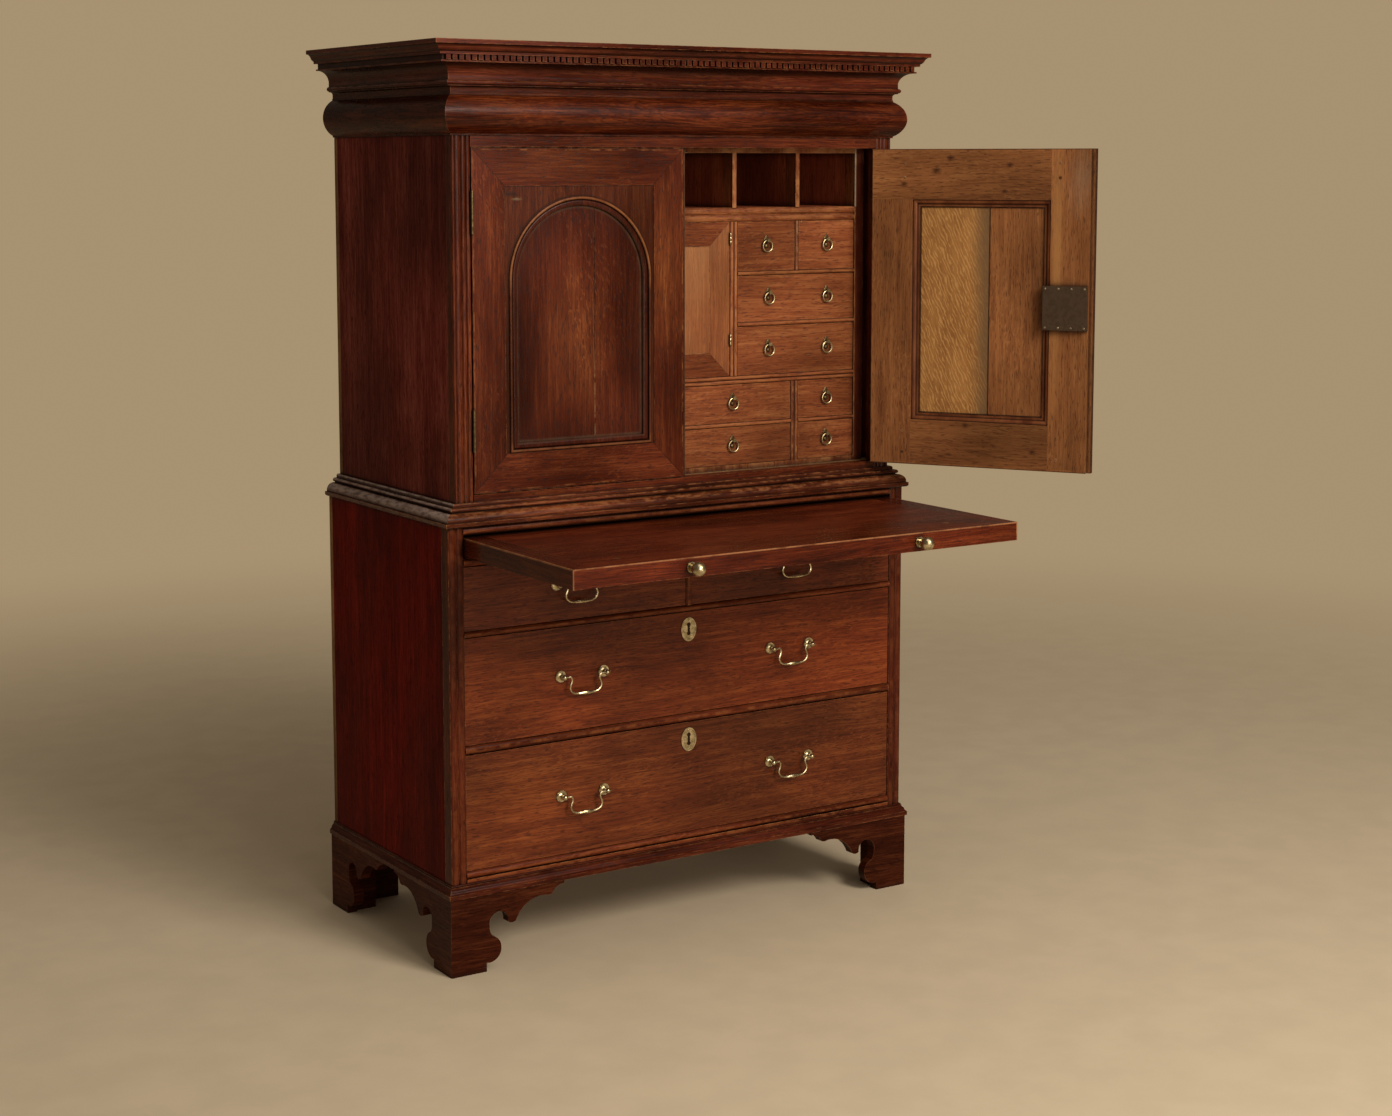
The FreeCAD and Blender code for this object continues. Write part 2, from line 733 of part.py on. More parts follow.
outer = frame_corners(door_gap, 0, 0, 0)
face_hole = frame_corners(door_gap, door_stile_front, door_rail_top_front, door_rail_base_front)
back_hole = frame_corners(door_gap, door_stile_back, door_rail_top_back, door_rail_base_back)
lap_y = cabinet_front + door_lap


def quad(a, b, c, d, y0, y1):
    return prism(a, [b, c, d], in_xz(y0), V(0, y1 - y0, 0))


def mitred_frame(o, h, y0, y1):
    # left, right, bottom and top members between the outer box and the hole
    ol, orr, ob, ot = o
    hl, hr, hb, ht = h
    return [
        quad((ol, ob), (hl, hb), (hl, ht), (ol, ot), y0, y1),
        quad((orr, ob), (orr, ot), (hr, ht), (hr, hb), y0, y1),
        quad((ol, ob), (orr, ob), (hr, hb), (hl, hb), y0, y1),
        quad((ol, ot), (hl, ht), (hr, ht), (orr, ot), y0, y1),
    ]


def square_frame(o, h, y0, y1):
    return [
        box(o[0], h[0], y0, y1, o[2], o[3]), box(h[1], o[1], y0, y1, o[2], o[3]),
        box(h[0], h[1], y0, y1, o[2], h[2]), box(h[0], h[1], y0, y1, h[3], o[3]),
    ]


def door_frame(reach):
    # reach is how far the back layer runs past the face at the meeting edge
    back_outer = (outer[0], outer[1] + reach, outer[2], outer[3])
    members = [
        a.fuse(b).removeSplitter()
        for a, b in zip(
            mitred_frame(outer, face_hole, cabinet_front, lap_y),
            square_frame(back_outer, back_hole, lap_y, door_back),
        )
    ]
    for pocket in door_pockets:
        members[0] = members[0].cut(pocket)
    relief = box(
        *sorted((outer[1], outer[1] + reach)), lap_y, lap_y + rebate_gap, outer[2], outer[3]
    )
    return [m.cut(relief) for m in members]


hl, hr, hb, ht = face_hole
panel_y = lap_y - panel_thick


def panel_boards(share):
    # two boards with an open joint, share of the way from the hinge
    joint = hl + (hr - hl) * share
    return [
        box(hl, joint - panel_crack / 2, panel_y, lap_y, hb, ht),
        box(joint + panel_crack / 2, hr, panel_y, lap_y, hb, ht),
    ]


arch_mid = (hl + hr) / 2
arch_r = (hr - hl) / 2 - arch_side_gap
arch_floor = hb + arch_foot_gap
arch_spring = ht - arch_head_gap - arch_r


def arch_solid(inset, y0, y1):
    # straight sides and a half-round head
    r = arch_r - inset
    low = arch_floor + inset
    sides = [(arch_mid + r, low), (arch_mid + r, arch_spring), (arch_mid - r, arch_spring, -half_round)]
    return prism((arch_mid - r, low), sides, in_xz(y0), V(0, y1 - y0, 0))


spandrel_y = panel_y - spandrel_thick
spandrel = box(hl, hr, spandrel_y, panel_y, hb, ht).cut(arch_solid(0, spandrel_y, panel_y))


def arch_ring(near, far, face, rounding):
    # a band that follows the arch, its front edges rounded
    ring_band = arch_solid(near, face, panel_y).cut(arch_solid(far, face, panel_y))
    return ring_band.makeFillet(rounding, on_plane(ring_band, face))


arch_face = cabinet_front - arch_proud
bead = arch_ring(0, arch_bead, arch_face, arch_bead_round)
hollow = arch_ring(arch_bead, arch_band, arch_face + arch_quirk, arch_hollow_round)
band = bead.fuse(hollow).removeSplitter()


def shrunk(o, by):
    return (o[0] + by, o[1] - by, o[2] + by, o[3] - by)


def rounded_in(piece, y):
    # of the four edges on the plane, the mitres are the short ones and the inner edge comes next
    inner_edge = sorted(on_plane(piece, y), key=lambda e: e.Length)[2]
    return piece.makeFillet(back_bead_round, [inner_edge])


bead_hole = shrunk(back_hole, back_bead)
bead_top = lap_y + back_bead_high
beads = [rounded_in(m, bead_top) for m in mitred_frame(back_hole, bead_hole, lap_y, bead_top)]
beads += mitred_frame(bead_hole, shrunk(bead_hole, back_step), lap_y, lap_y + back_step_high)
panel_trim = [spandrel, band] + beads

wide, proud, tall = lock_size
free_edge = -door_gap / 2 - meeting_rebate - lock_edge
lock = box(free_edge - wide, free_edge, door_back, door_back + proud, lock_floor, lock_floor + tall)
parts["left_door_frame"] = door_frame(meeting_rebate)
parts["left_door_panel"] = panel_boards(panel_splits[0]) + panel_trim
parts["left_door_hinges"] = door_leaves


def opened(solids):
    turned = []
    for solid in solids:
        other = mirrored(solid)
        other.rotate(V(pivot_x, pivot_y, 0), V(0, 0, 1), right_door_open)
        turned.append(other)
    return turned


parts["right_door_frame"] = opened(door_frame(-meeting_rebate))
parts["right_door_panel"] = opened(panel_boards(panel_splits[1]) + panel_trim)
parts["right_door_ironwork"] = opened(door_leaves + [lock])

# Writing slide, drawn out: a field framed on three sides, and two turned knobs
slide_half = opening_half - fit
slide_floor = slot_floor + slide_clear
slide_head = slide_floor + slide_thick
tail = slide_deep - slide_out
inner_slide = slide_half - slide_clamp
field_front = slide_clamp - slide_out


def slab(points):
    return prism(points[0], points[1:], in_xy(slide_floor), V(0, 0, slide_thick))


end_clamp = slab([
    (-slide_half, -slide_out), (-inner_slide, field_front), (-inner_slide, tail), (-slide_half, tail)
])
parts["writing_slide"] = [
    slab([(-inner_slide, field_front), (inner_slide, field_front), (inner_slide, tail), (-inner_slide, tail)]),
    slab([
        (-slide_half, -slide_out), (slide_half, -slide_out),
        (inner_slide, field_front), (-inner_slide, field_front),
    ]),
    end_clamp, mirrored(end_clamp),
]
knob_z = (slide_floor + slide_head) / 2


def knob(x):
    seat, out = V(x, -slide_out, knob_z), V(0, -1, 0)
    turned = Part.makeCylinder(knob_rose_r, knob_rose, seat, out)
    neck = Part.makeCylinder(knob_neck_r, knob_rose + knob_neck + knob_r / 2, seat, out)
    ball = Part.makeSphere(knob_r, seat + out * (knob_rose + knob_neck + knob_r), out)
    return turned.fuse([neck, ball])


knob_x = slide_half * knob_share
parts["slide_knobs"] = [knob(-knob_x), knob(knob_x)]

# Chest drawers with their handles
short_edge = divider_wide / 2
long_handles = (-opening_half * long_handle_share, opening_half * long_handle_share)
short_mid = (short_edge + opening_half) / 2
drawer_rows = (
    ("lower_drawer", -opening_half, opening_half, lower_floor, lower_drawer_high, long_handles,
     lower_handle_up, True),
    ("upper_drawer", -opening_half, opening_half, upper_floor, upper_drawer_high, long_handles,
     upper_handle_up, True),
    ("left_short_drawer", -opening_half, -short_edge, short_floor, short_drawer_high, (-short_mid,),
     short_handle_up, False),
    ("right_short_drawer", short_edge, opening_half, short_floor, short_drawer_high, (short_mid,),
     short_handle_up, False),
)
for name, x0, x1, z0, high, handles, handle_up, locked in drawer_rows:
    parts[name] = chest_drawer(x0, x1, z0, z0 + high)
    handle_z = z0 + high * handle_up
    brass = [s for x in handles for s in handle_mounts(x, handle_z)]
    if locked:
        plate_z = z0 + high - plate_down
        brass += [key_plate(plate_z), lock_box(plate_z)]
    parts[name + "_brass"] = brass
    parts[name + "_bails"] = [bail(x, handle_z) for x in handles]

# Fitted interior
nest_top = (door_head - nest_board, door_head)
end = nest_half + nest_side
parts["nest_case"] = [
    box(-end, -nest_half, nest_front, nest_end, door_floor, door_head),
    box(nest_half, end, nest_front, nest_end, door_floor, door_head),
    box(-nest_half, nest_half, nest_front, nest_end, *nest_top),
    box(-nest_half, nest_half, nest_front, nest_end, door_floor, nest_floor),
    box(-end, end, nest_end, nest_end + nest_back, door_floor, door_head),
]
twin = (0.5, 0.5)
shelves = [
    beaded_rail(-nest_half, nest_half, nest_front, nest_end, shelf_floor, cell_floor, twin, nest_groove),
    beaded_rail(-nest_half, nest_half, nest_front, nest_end, *middle_shelf, twin, nest_groove),
]
for z0, z1 in ((row_two[1], row_one[0]), (row_three[1], row_two[0])):
    rail = beaded_rail(-nest_half, -post_out, nest_front, nest_end, z0, z1, (1.0,), nest_groove)
    shelves += [rail, mirrored(rail)]
for x0, x1 in ((-nest_half, -low_split[1]), (-low_split[0], low_split[0]), (low_split[1], nest_half)):
    shelves.append(beaded_rail(x0, x1, nest_front, nest_end, *low_rail, (1.0,), nest_groove))
parts["nest_shelves"] = shelves
uprights = [
    beaded_post(
        -post_out, -cupboard_half, nest_front, nest_end, middle_shelf[1], shelf_floor, twin, nest_groove
    ),
    beaded_post(-bank_split[1], -bank_split[0], nest_front, nest_end, *row_one, (1.0,), nest_groove),
    beaded_post(
        -low_split[1], -low_split[0], nest_front, nest_end, nest_floor, middle_shelf[0], twin, nest_groove
    ),
]
for x in cell_wall_x:
    half_wall = cell_wall / 2
    uprights.append(box(-x - half_wall, -x + half_wall, nest_front, nest_end, cell_floor, nest_top[0]))
parts["nest_uprights"] = uprights + [mirrored(s) for s in uprights]

door_box = (
    -cupboard_half + nest_fit, cupboard_half - nest_fit, middle_shelf[1] + nest_fit, shelf_floor - nest_fit
)
door_hole = (door_box[0] + cupboard_frame, door_box[1] - cupboard_frame, door_box[2] + cupboard_frame,
             door_box[3] - cupboard_frame)
door_span = (nest_face, nest_face + cupboard_door_thick)
parts["cupboard_door"] = mitred_frame(door_box, door_hole, *door_span) + [
    box(door_hole[0], door_hole[1], *door_span, door_hole[2], door_hole[3])
]

single = (0.5,)
right_bank = (
    ("right_inner_small_drawer", post_out, bank_split[0], *row_one, single),
    ("right_outer_small_drawer", bank_split[1], nest_half, *row_one, single),
    ("right_wide_drawer", post_out, nest_half, *row_two, wide_pull_at),
    ("right_lower_wide_drawer", post_out, nest_half, *row_three, wide_pull_at),
    ("right_base_drawer", low_split[1], nest_half, low_rail[1], middle_shelf[0], single),
    ("right_bottom_drawer", low_split[1], nest_half, nest_floor, low_rail[0], single),
)
left_bank, left_rings = {}, []
for name, x0, x1, z0, z1, pulls in right_bank:
    solids, rings = small_drawer(x0, x1, z0, z1, pulls)
    parts[name] = solids
    parts[name + "_ring"] = rings
    kind = name.split("_")[-2]
    left_bank.setdefault(kind, []).extend(mirrored(s) for s in solids)
    left_rings += [mirrored(s) for s in rings]
parts["left_small_drawers"] = left_bank["small"]
parts["left_wide_drawers"] = left_bank["wide"]
parts["left_base_drawers"] = left_bank["base"] + left_bank["bottom"]
parts["centre_drawers"] = []
for z0, z1 in ((low_rail[1], middle_shelf[0]), (nest_floor, low_rail[0])):
    solids, rings = small_drawer(-low_split[0], low_split[0], z0, z1, centre_pull_at)
    parts["centre_drawers"] += solids
    left_rings += rings
parts["fixed_rings"] = left_rings

os.makedirs("parts", exist_ok=True)
for name, solids in parts.items():
    shape = Part.makeCompound(solids)
    shape.translate(V(-origin_x, -origin_y, 0))
    shape.exportStep("parts/" + name + ".step")
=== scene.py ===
import bmesh
import bpy
import math
import numpy as np
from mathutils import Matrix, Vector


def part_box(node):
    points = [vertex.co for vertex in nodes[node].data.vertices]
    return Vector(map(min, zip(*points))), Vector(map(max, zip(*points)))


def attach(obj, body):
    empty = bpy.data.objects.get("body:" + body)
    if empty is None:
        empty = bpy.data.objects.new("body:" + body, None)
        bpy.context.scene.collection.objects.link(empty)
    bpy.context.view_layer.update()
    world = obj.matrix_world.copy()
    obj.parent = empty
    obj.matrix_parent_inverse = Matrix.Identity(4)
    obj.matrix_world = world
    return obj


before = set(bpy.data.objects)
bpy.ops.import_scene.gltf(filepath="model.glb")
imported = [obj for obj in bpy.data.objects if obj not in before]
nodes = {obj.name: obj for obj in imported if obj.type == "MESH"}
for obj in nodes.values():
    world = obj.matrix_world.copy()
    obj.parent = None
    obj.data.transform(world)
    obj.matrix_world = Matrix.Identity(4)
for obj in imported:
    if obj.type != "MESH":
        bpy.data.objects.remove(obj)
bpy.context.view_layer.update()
print("frame loaded,", len(nodes), "nodes")

# places on the cabinet are in mm: x from its middle, y back from the chest's front, z up from the floor
sideLow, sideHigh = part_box("chest_sides")
midX = (sideLow.x + sideHigh.x) / 2
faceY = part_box("chest_front_frame")[0].y


def at(x, y, z):
    return (midX + x / 1000, faceY + y / 1000, z / 1000)


rightDoor = {"pivot": (468.45, 15.1), "open": 122.0}  # the angle it stands at


# camera, floor and light
viewpoint = {"place": (-2488.8, -3852.9, 1534.0), "yaw": 33.0208, "pitch": -6.5608, "lens": 60.53,
             "shift": -0.09}
cameraData = bpy.data.cameras.new("photoCamera")
cameraData.lens = viewpoint["lens"]
cameraData.sensor_width = 36.0
cameraData.shift_y = viewpoint["shift"]
camera = bpy.data.objects.new("photoCamera", cameraData)
camera.location = at(*viewpoint["place"])
camera.rotation_euler = (math.radians(90 + viewpoint["pitch"]), 0, -math.radians(viewpoint["yaw"]))
bpy.context.scene.collection.objects.link(camera)
bpy.context.scene.camera = camera
bpy.context.scene.view_settings.view_transform = "Standard"


def put(tree, kind, wires=None, **settings):
    # one shader node; a wire is a socket to link or a plain value to set
    node = tree.nodes.new("ShaderNode" + kind)
    for key, value in settings.items():
        setattr(node, key, value)
    for key, value in (wires or {}).items():
        if isinstance(value, bpy.types.NodeSocket):
            tree.links.new(value, node.inputs[key])
        else:
            node.inputs[key].default_value = value
    return node


def sums(tree, operation, a, b=0.0, c=0.0, clamp=False):
    return put(tree, "Math", {0: a, 1: b, 2: c}, operation=operation, use_clamp=clamp).outputs[0]


def folded(operation):
    # a helper that joins values in turn by one Math operation
    def run(tree, first, *more):
        for other in more:
            first = sums(tree, operation, first, other)
        return first
    return run


times, least, most, less, isBelow, isAbove = map(
    folded, ("MULTIPLY", "MINIMUM", "MAXIMUM", "SUBTRACT", "LESS_THAN", "GREATER_THAN"))


def sizeOf(tree, value):
    return sums(tree, "ABSOLUTE", value)


def apart(tree, a, b):
    return sizeOf(tree, less(tree, a, b))


def split(tree, vector):
    return put(tree, "SeparateXYZ", {0: vector}).outputs


def inMm(tree, place):
    # a place as x from the middle, y and z, with x and z in mm
    x, y, z = split(tree, place)
    return times(tree, less(tree, x, midX), 1000.0), y, times(tree, z, 1000.0)


def insets(tree, x, z, x0, x1, z0, z1):
    # how far in from the nearer side and from the nearer end of an upright rectangle
    side = least(tree, less(tree, x, x0), less(tree, x1, x))
    return side, least(tree, less(tree, z, z0), less(tree, z1, z))


def scaled(tree, vector, by):
    return put(tree, "VectorMath", {0: vector, 1: by}, operation="MULTIPLY").outputs[0]


def shifted(tree, vector, by):
    return put(tree, "VectorMath", {0: vector, 1: by}, operation="ADD").outputs[0]


def spread(tree, value, low, high, toLow=0.0, toHigh=1.0):
    node = put(tree, "MapRange", {0: value, 1: low, 2: high, 3: toLow, 4: toHigh},
               interpolation_type="SMOOTHSTEP")
    return node.outputs[0]


def noise(tree, vector, detail=2.0, rough=0.55, out="Fac"):
    node = put(tree, "TexNoise", {"Vector": vector, "Scale": 1.0, "Detail": detail, "Roughness": rough})
    return node.outputs[out]


def blended(tree, share, a, b, way="MIX"):
    node = put(tree, "Mix", {0: share, 6: a, 7: b}, data_type="RGBA", blend_type=way)
    return node.outputs[2]


def washed(tree, colour, wash, *shares):
    return blended(tree, times(tree, *shares), colour, blended(tree, 1.0, colour, tint(wash), "MULTIPLY"))


def painted(tree, colour, paint, *shares):
    return blended(tree, times(tree, *shares), colour, tint(paint))


def newGroup(name, takes, gives):
    tree = bpy.data.node_groups.new(name, "ShaderNodeTree")
    for label, kind, value in takes:
        socket = tree.interface.new_socket(label, in_out="INPUT", socket_type="NodeSocket" + kind)
        if value is not None:
            socket.default_value = value
    for label, kind in gives:
        tree.interface.new_socket(label, in_out="OUTPUT", socket_type="NodeSocket" + kind)
    return tree, tree.nodes.new("NodeGroupInput").outputs, tree.nodes.new("NodeGroupOutput").inputs


def placed(tree, group, wires):
    return put(tree, "Group", wires, node_tree=group).outputs


def tint(colour):
    return (*colour, 1.0)


floorLook = {"colour": (0.58, 0.475, 0.34), "mottle": 0.03, "wide": 60.0, "fade": (1.6, 5.0)}
worldLook = {"seen": (0.385, 0.285, 0.165), "light": (0.24, 0.205, 0.16), "gloss": (0.11, 0.085, 0.06)}
lampColour = (1.0, 0.93, 0.82)
lamps = {  # place in m from the middle of the front, aim, size and watts
    "keyLamp": {"place": (0.7, -4.2, 3.3), "aim": (0.0, 0.1, 0.8), "size": 1.8, "watts": 175.0},
    "frontLamp": {"place": (-0.4, -4.8, 1.6), "aim": (0.0, 0.0, 0.9), "size": 2.4, "watts": 62.0},
    "topLamp": {"place": (-0.2, -1.8, 4.2), "aim": (0.0, 0.1, 1.0), "size": 2.4, "watts": 22.0},
}


def lookingRay(tree):
    ray = put(tree, "LightPath").outputs
    return most(tree, ray["Is Camera Ray"], ray["Is Transmission Ray"])


def makeStage():
    size = floorLook["wide"] / 2
    mesh = bpy.data.meshes.new("floor")
    mesh.from_pydata([(-size, -size, 0), (size, -size, 0), (size, size, 0), (-size, size, 0)], [],
                     [(0, 1, 2, 3)])
    floor = bpy.data.objects.new("floor", mesh)
    bpy.context.scene.collection.objects.link(floor)
    look = bpy.data.materials.new("paleFloor")
    look.use_nodes = True
    tree = look.node_tree
    coords = put(tree, "TexCoord").outputs["Object"]
    speckle = noise(tree, scaled(tree, coords, (9.0,) * 3), 4.0)
    low = tuple(c * (1 - floorLook["mottle"]) for c in floorLook["colour"])
    high = tuple(c * (1 + floorLook["mottle"]) for c in floorLook["colour"])
    shader = tree.nodes["Principled BSDF"]
    tree.links.new(blended(tree, spread(tree, speckle, 0.3, 0.7), tint(low), tint(high)),
                   shader.inputs["Base Color"])
    shader.inputs["Roughness"].default_value = 0.9
    shader.inputs["Specular IOR Level"].default_value = 0.1
    # away from the cabinet the floor passes into the backdrop's own colour, for rays that look at it
    far = put(tree, "VectorMath", {0: coords}, operation="LENGTH").outputs["Value"]
    share = times(tree, spread(tree, far, *floorLook["fade"]), lookingRay(tree))
    glow = put(tree, "Emission", {"Color": tint(worldLook["seen"])}).outputs[0]
    joined = put(tree, "MixShader", {0: share, 1: shader.outputs[0], 2: glow}).outputs[0]
    tree.links.new(joined, tree.nodes["Material Output"].inputs["Surface"])
    mesh.materials.append(look)
    world = bpy.data.worlds.new("studio")
    bpy.context.scene.world = world
    world.use_nodes = True
    tree = world.node_tree
    mirrored = put(tree, "LightPath").outputs["Is Glossy Ray"]
    colour = blended(tree, mirrored, tint(worldLook["light"]), tint(worldLook["gloss"]))
    colour = painted(tree, colour, worldLook["seen"], lookingRay(tree))
    tree.links.new(colour, tree.nodes["Background"].inputs["Color"])
    for name, lamp in lamps.items():
        data = bpy.data.lights.new(name, "AREA")
        data.shape = "DISK"
        data.size = lamp["size"]
        data.color = lampColour
        data.energy = lamp["watts"]
        light = bpy.data.objects.new(name, data)
        light.location = at(*(1000 * c for c in lamp["place"]))
        aim = np.array(at(*(1000 * c for c in lamp["aim"]))) - np.array(light.location)
        light.rotation_euler = Vector(aim).to_track_quat("-Z", "Y").to_euler()
        bpy.context.scene.collection.objects.link(light)


makeStage()
print("camera, floor and lamps placed")


# shared effects
def makeOakFigure():
    # oak that runs along x: broad bands, streaks, pores, pale ray flecks and blotched old polish
    tree, take, give = newGroup(
        "oakFigure",
        [("Along", "Vector", None), ("Deep", "Color", None), ("Middle", "Color", None),
         ("Pale", "Color", None), ("Contrast", "Float", 1.0), ("Fleck", "Float", 0.4)],
        [("Color", "Color"), ("Height", "Float"), ("Rough", "Float")])
    along = take["Along"]
    sway = shifted(tree, noise(tree, scaled(tree, along, (1.6, 7.0, 7.0)), 2.0, out="Color"),
                   (-0.5, -0.5, -0.5))
    wavy = shifted(tree, along, scaled(tree, sway, (0.0, 0.04, 0.04)))
    broad = noise(tree, scaled(tree, wavy, (1.1, 17.0, 17.0)), 3.0)
    streak = noise(tree, scaled(tree, wavy, (3.2, 135.0, 135.0)), 4.0)
    fine = noise(tree, scaled(tree, wavy, (13.0, 400.0, 400.0)), 2.0)
    pore = spread(tree, noise(tree, scaled(tree, wavy, (55.0, 520.0, 520.0)), 1.0), 0.55, 0.69)
    mottle = noise(tree, scaled(tree, wavy, (9.0, 34.0, 34.0)), 4.0, 0.65)
    tone = sums(tree, "MULTIPLY_ADD", broad, 0.20, times(tree, mottle, 0.22))
    tone = sums(tree, "ADD", tone, sums(tree, "MULTIPLY_ADD", streak, 0.27, times(tree, fine, 0.32)))
    tone = put(tree, "MapRange", {0: tone, 1: 0.38, 2: 0.63}).outputs[0]
    tone = sums(tree, "MULTIPLY_ADD", less(tree, tone, 0.5), take["Contrast"], 0.5)
    lower = sums(tree, "MULTIPLY", tone, 2.0, clamp=True)
    upper = sums(tree, "MULTIPLY_ADD", tone, 2.0, -1.0, clamp=True)
    colour = blended(tree, upper, blended(tree, lower, take["Deep"], take["Middle"]), take["Pale"])
    colour = blended(tree, times(tree, pore, 0.7), colour, blended(tree, 0.35, take["Deep"], (0, 0, 0, 1)))
    slant = put(tree, "VectorRotate", {"Vector": along, "Angle": 0.22}, rotation_type="Z_AXIS").outputs[0]
    slant = put(tree, "VectorRotate", {"Vector": slant, "Angle": 0.22}, rotation_type="Y_AXIS").outputs[0]
    fleck = spread(tree, noise(tree, scaled(tree, slant, (62.0, 230.0, 230.0)), 1.0), 0.58, 0.68)
    patch = spread(tree, noise(tree, scaled(tree, along, (4.0, 9.0, 9.0)), 1.0), 0.46, 0.62)
    fleck = times(tree, fleck, patch, take["Fleck"])
    colour = blended(tree, fleck, colour, take["Pale"])
    blotch = noise(tree, scaled(tree, along, (2.4, 4.2, 4.2)), 2.0)
    shade = spread(tree, blotch, 0.3, 0.7, 0.66, 1.3)
    colour = blended(tree, 1.0, colour, shade, "MULTIPLY")
    tree.links.new(colour, give["Color"])
    height = sums(tree, "MULTIPLY_ADD", streak, 0.3,
                  sums(tree, "MULTIPLY_ADD", fine, 0.5, times(tree, pore, -0.6)))
    tree.links.new(height, give["Height"])
    rough = sums(tree, "MULTIPLY_ADD", pore, 0.12, spread(tree, blotch, 0.3, 0.7, -0.06, 0.06))
    tree.links.new(rough, give["Rough"])
    return tree


def makeWearAndShade():
    # an edge mask where a rounded normal leaves the face's own, and a recess mask where the sky is shut out
    # on oak the edge is rubbed pale with painted highlight and the recess is dirt with painted shade; on
    # metal the recess is patina
    tree, take, give = newGroup(
        "wearAndShade", [("Radius", "Float", 0.003), ("Rub", "Float", 1.0), ("Reach", "Float", 0.02)],
        [("Edge", "Float"), ("Recess", "Float")])
    flat = put(tree, "NewGeometry").outputs["Normal"]
    bent = put(tree, "Bevel", {"Radius": take["Radius"]}, samples=6).outputs["Normal"]
    level = put(tree, "VectorMath", {0: flat, 1: bent}, operation="DOT_PRODUCT").outputs["Value"]
    corner = spread(tree, less(tree, 1.0, level), 0.015, 0.2)
    sky = put(tree, "AmbientOcclusion", {"Distance": take["Reach"]}, samples=6).outputs["AO"]
    proud = spread(tree, sky, 0.72, 0.98)
    coords = put(tree, "TexCoord").outputs["Object"]
    scuff = spread(tree, noise(tree, scaled(tree, coords, (48.0,) * 3), 4.0, 0.65), 0.40, 0.66)
    edge = times(tree, corner, proud, scuff, take["Rub"])
    tree.links.new(edge, give["Edge"])
    tree.links.new(spread(tree, less(tree, 1.0, sky), 0.10, 0.58), give["Recess"])
    return tree


def makeWornPatch():
    # an oval spot with a ragged, fading rim, round a place on the piece
    tree, take, give = newGroup(
        "wornPatch", [("Place", "Vector", None), ("Centre", "Vector", None), ("Reach", "Vector", None)],
        [("Mask", "Float")])
    away = put(tree, "VectorMath", {0: take["Place"], 1: take["Centre"]}, operation="SUBTRACT").outputs[0]
    away = put(tree, "VectorMath", {0: away, 1: take["Reach"]}, operation="DIVIDE").outputs[0]
    far = put(tree, "VectorMath", {0: away}, operation="LENGTH").outputs["Value"]
    ragged = noise(tree, scaled(tree, away, (2.2,) * 3), 4.0, 0.6)
    far = sums(tree, "ADD", far, sums(tree, "MULTIPLY_ADD", ragged, 0.9, -0.45))
    tree.links.new(spread(tree, far, 1.0, 0.0), give["Mask"])
    return tree


oakFigure = makeOakFigure()
wearAndShade = makeWearAndShade()
wornPatch = makeWornPatch()


# which way the grain runs: each takes the place and the facing and gives a vector whose x is along the grain
def swapped(tree, place, order):
    parts = split(tree, place)
    return put(tree, "CombineXYZ", {0: parts[order[0]], 1: parts[order[1]], 2: parts[order[2]]}).outputs[0]


def eitherWay(tree, share, a, b):
    return put(tree, "Mix", {0: share, 4: a, 5: b}, data_type="VECTOR").outputs[1]


def across(tree, place, facing):
    return place


def deepwise(tree, place, facing):
    return swapped(tree, place, (1, 2, 0))


def upright(tree, place, facing):
    return swapped(tree, place, (2, 0, 1))


def roundTheSides(tree, place, facing):
    # runs of moulding: along the front, and back along each side
    parts = split(tree, facing)
    sideways = isAbove(tree, sizeOf(tree, parts[0]), sizeOf(tree, parts[1]))
    return eitherWay(tree, sideways, place, deepwise(tree, place, facing))


def stilesBeyond(half):
    # uprights further out than half, rails between them
    def run(tree, place, facing):
        x = apart(tree, split(tree, place)[0], midX)
        return eitherWay(tree, isAbove(tree, x, half / 1000), place, upright(tree, place, facing))
    return run


def mitredFrame(x0, x1, z0, z1, lapY, stile, panelled=False, through=0.0):
    # a face frame mitred at its corners, over a framed back whose uprights are stile wide, with an upright
    # panel inside; through is the height of a top rail that runs on behind over the upright at high x
    def run(tree, place, facing):
        x, y, z = inMm(tree, place)
        sides, ends = insets(tree, x, z, x0, x1, z0, z1)
        square = isBelow(tree, sides, stile)
        corner = times(tree, isBelow(tree, less(tree, x1, x), stile),
                       isBelow(tree, less(tree, z1, z), through))
        behind = isAbove(tree, y, at(0, lapY, 0)[1])
        mitre = isBelow(tree, sides, ends)
        share = put(tree, "Mix", {0: behind, 2: mitre, 3: less(tree, square, corner)}).outputs[0]
        if panelled:
            share = most(tree, share, isAbove(tree, least(tree, sides, ends), stile))
        return eitherWay(tree, share, place, upright(tree, place, facing))
    return run
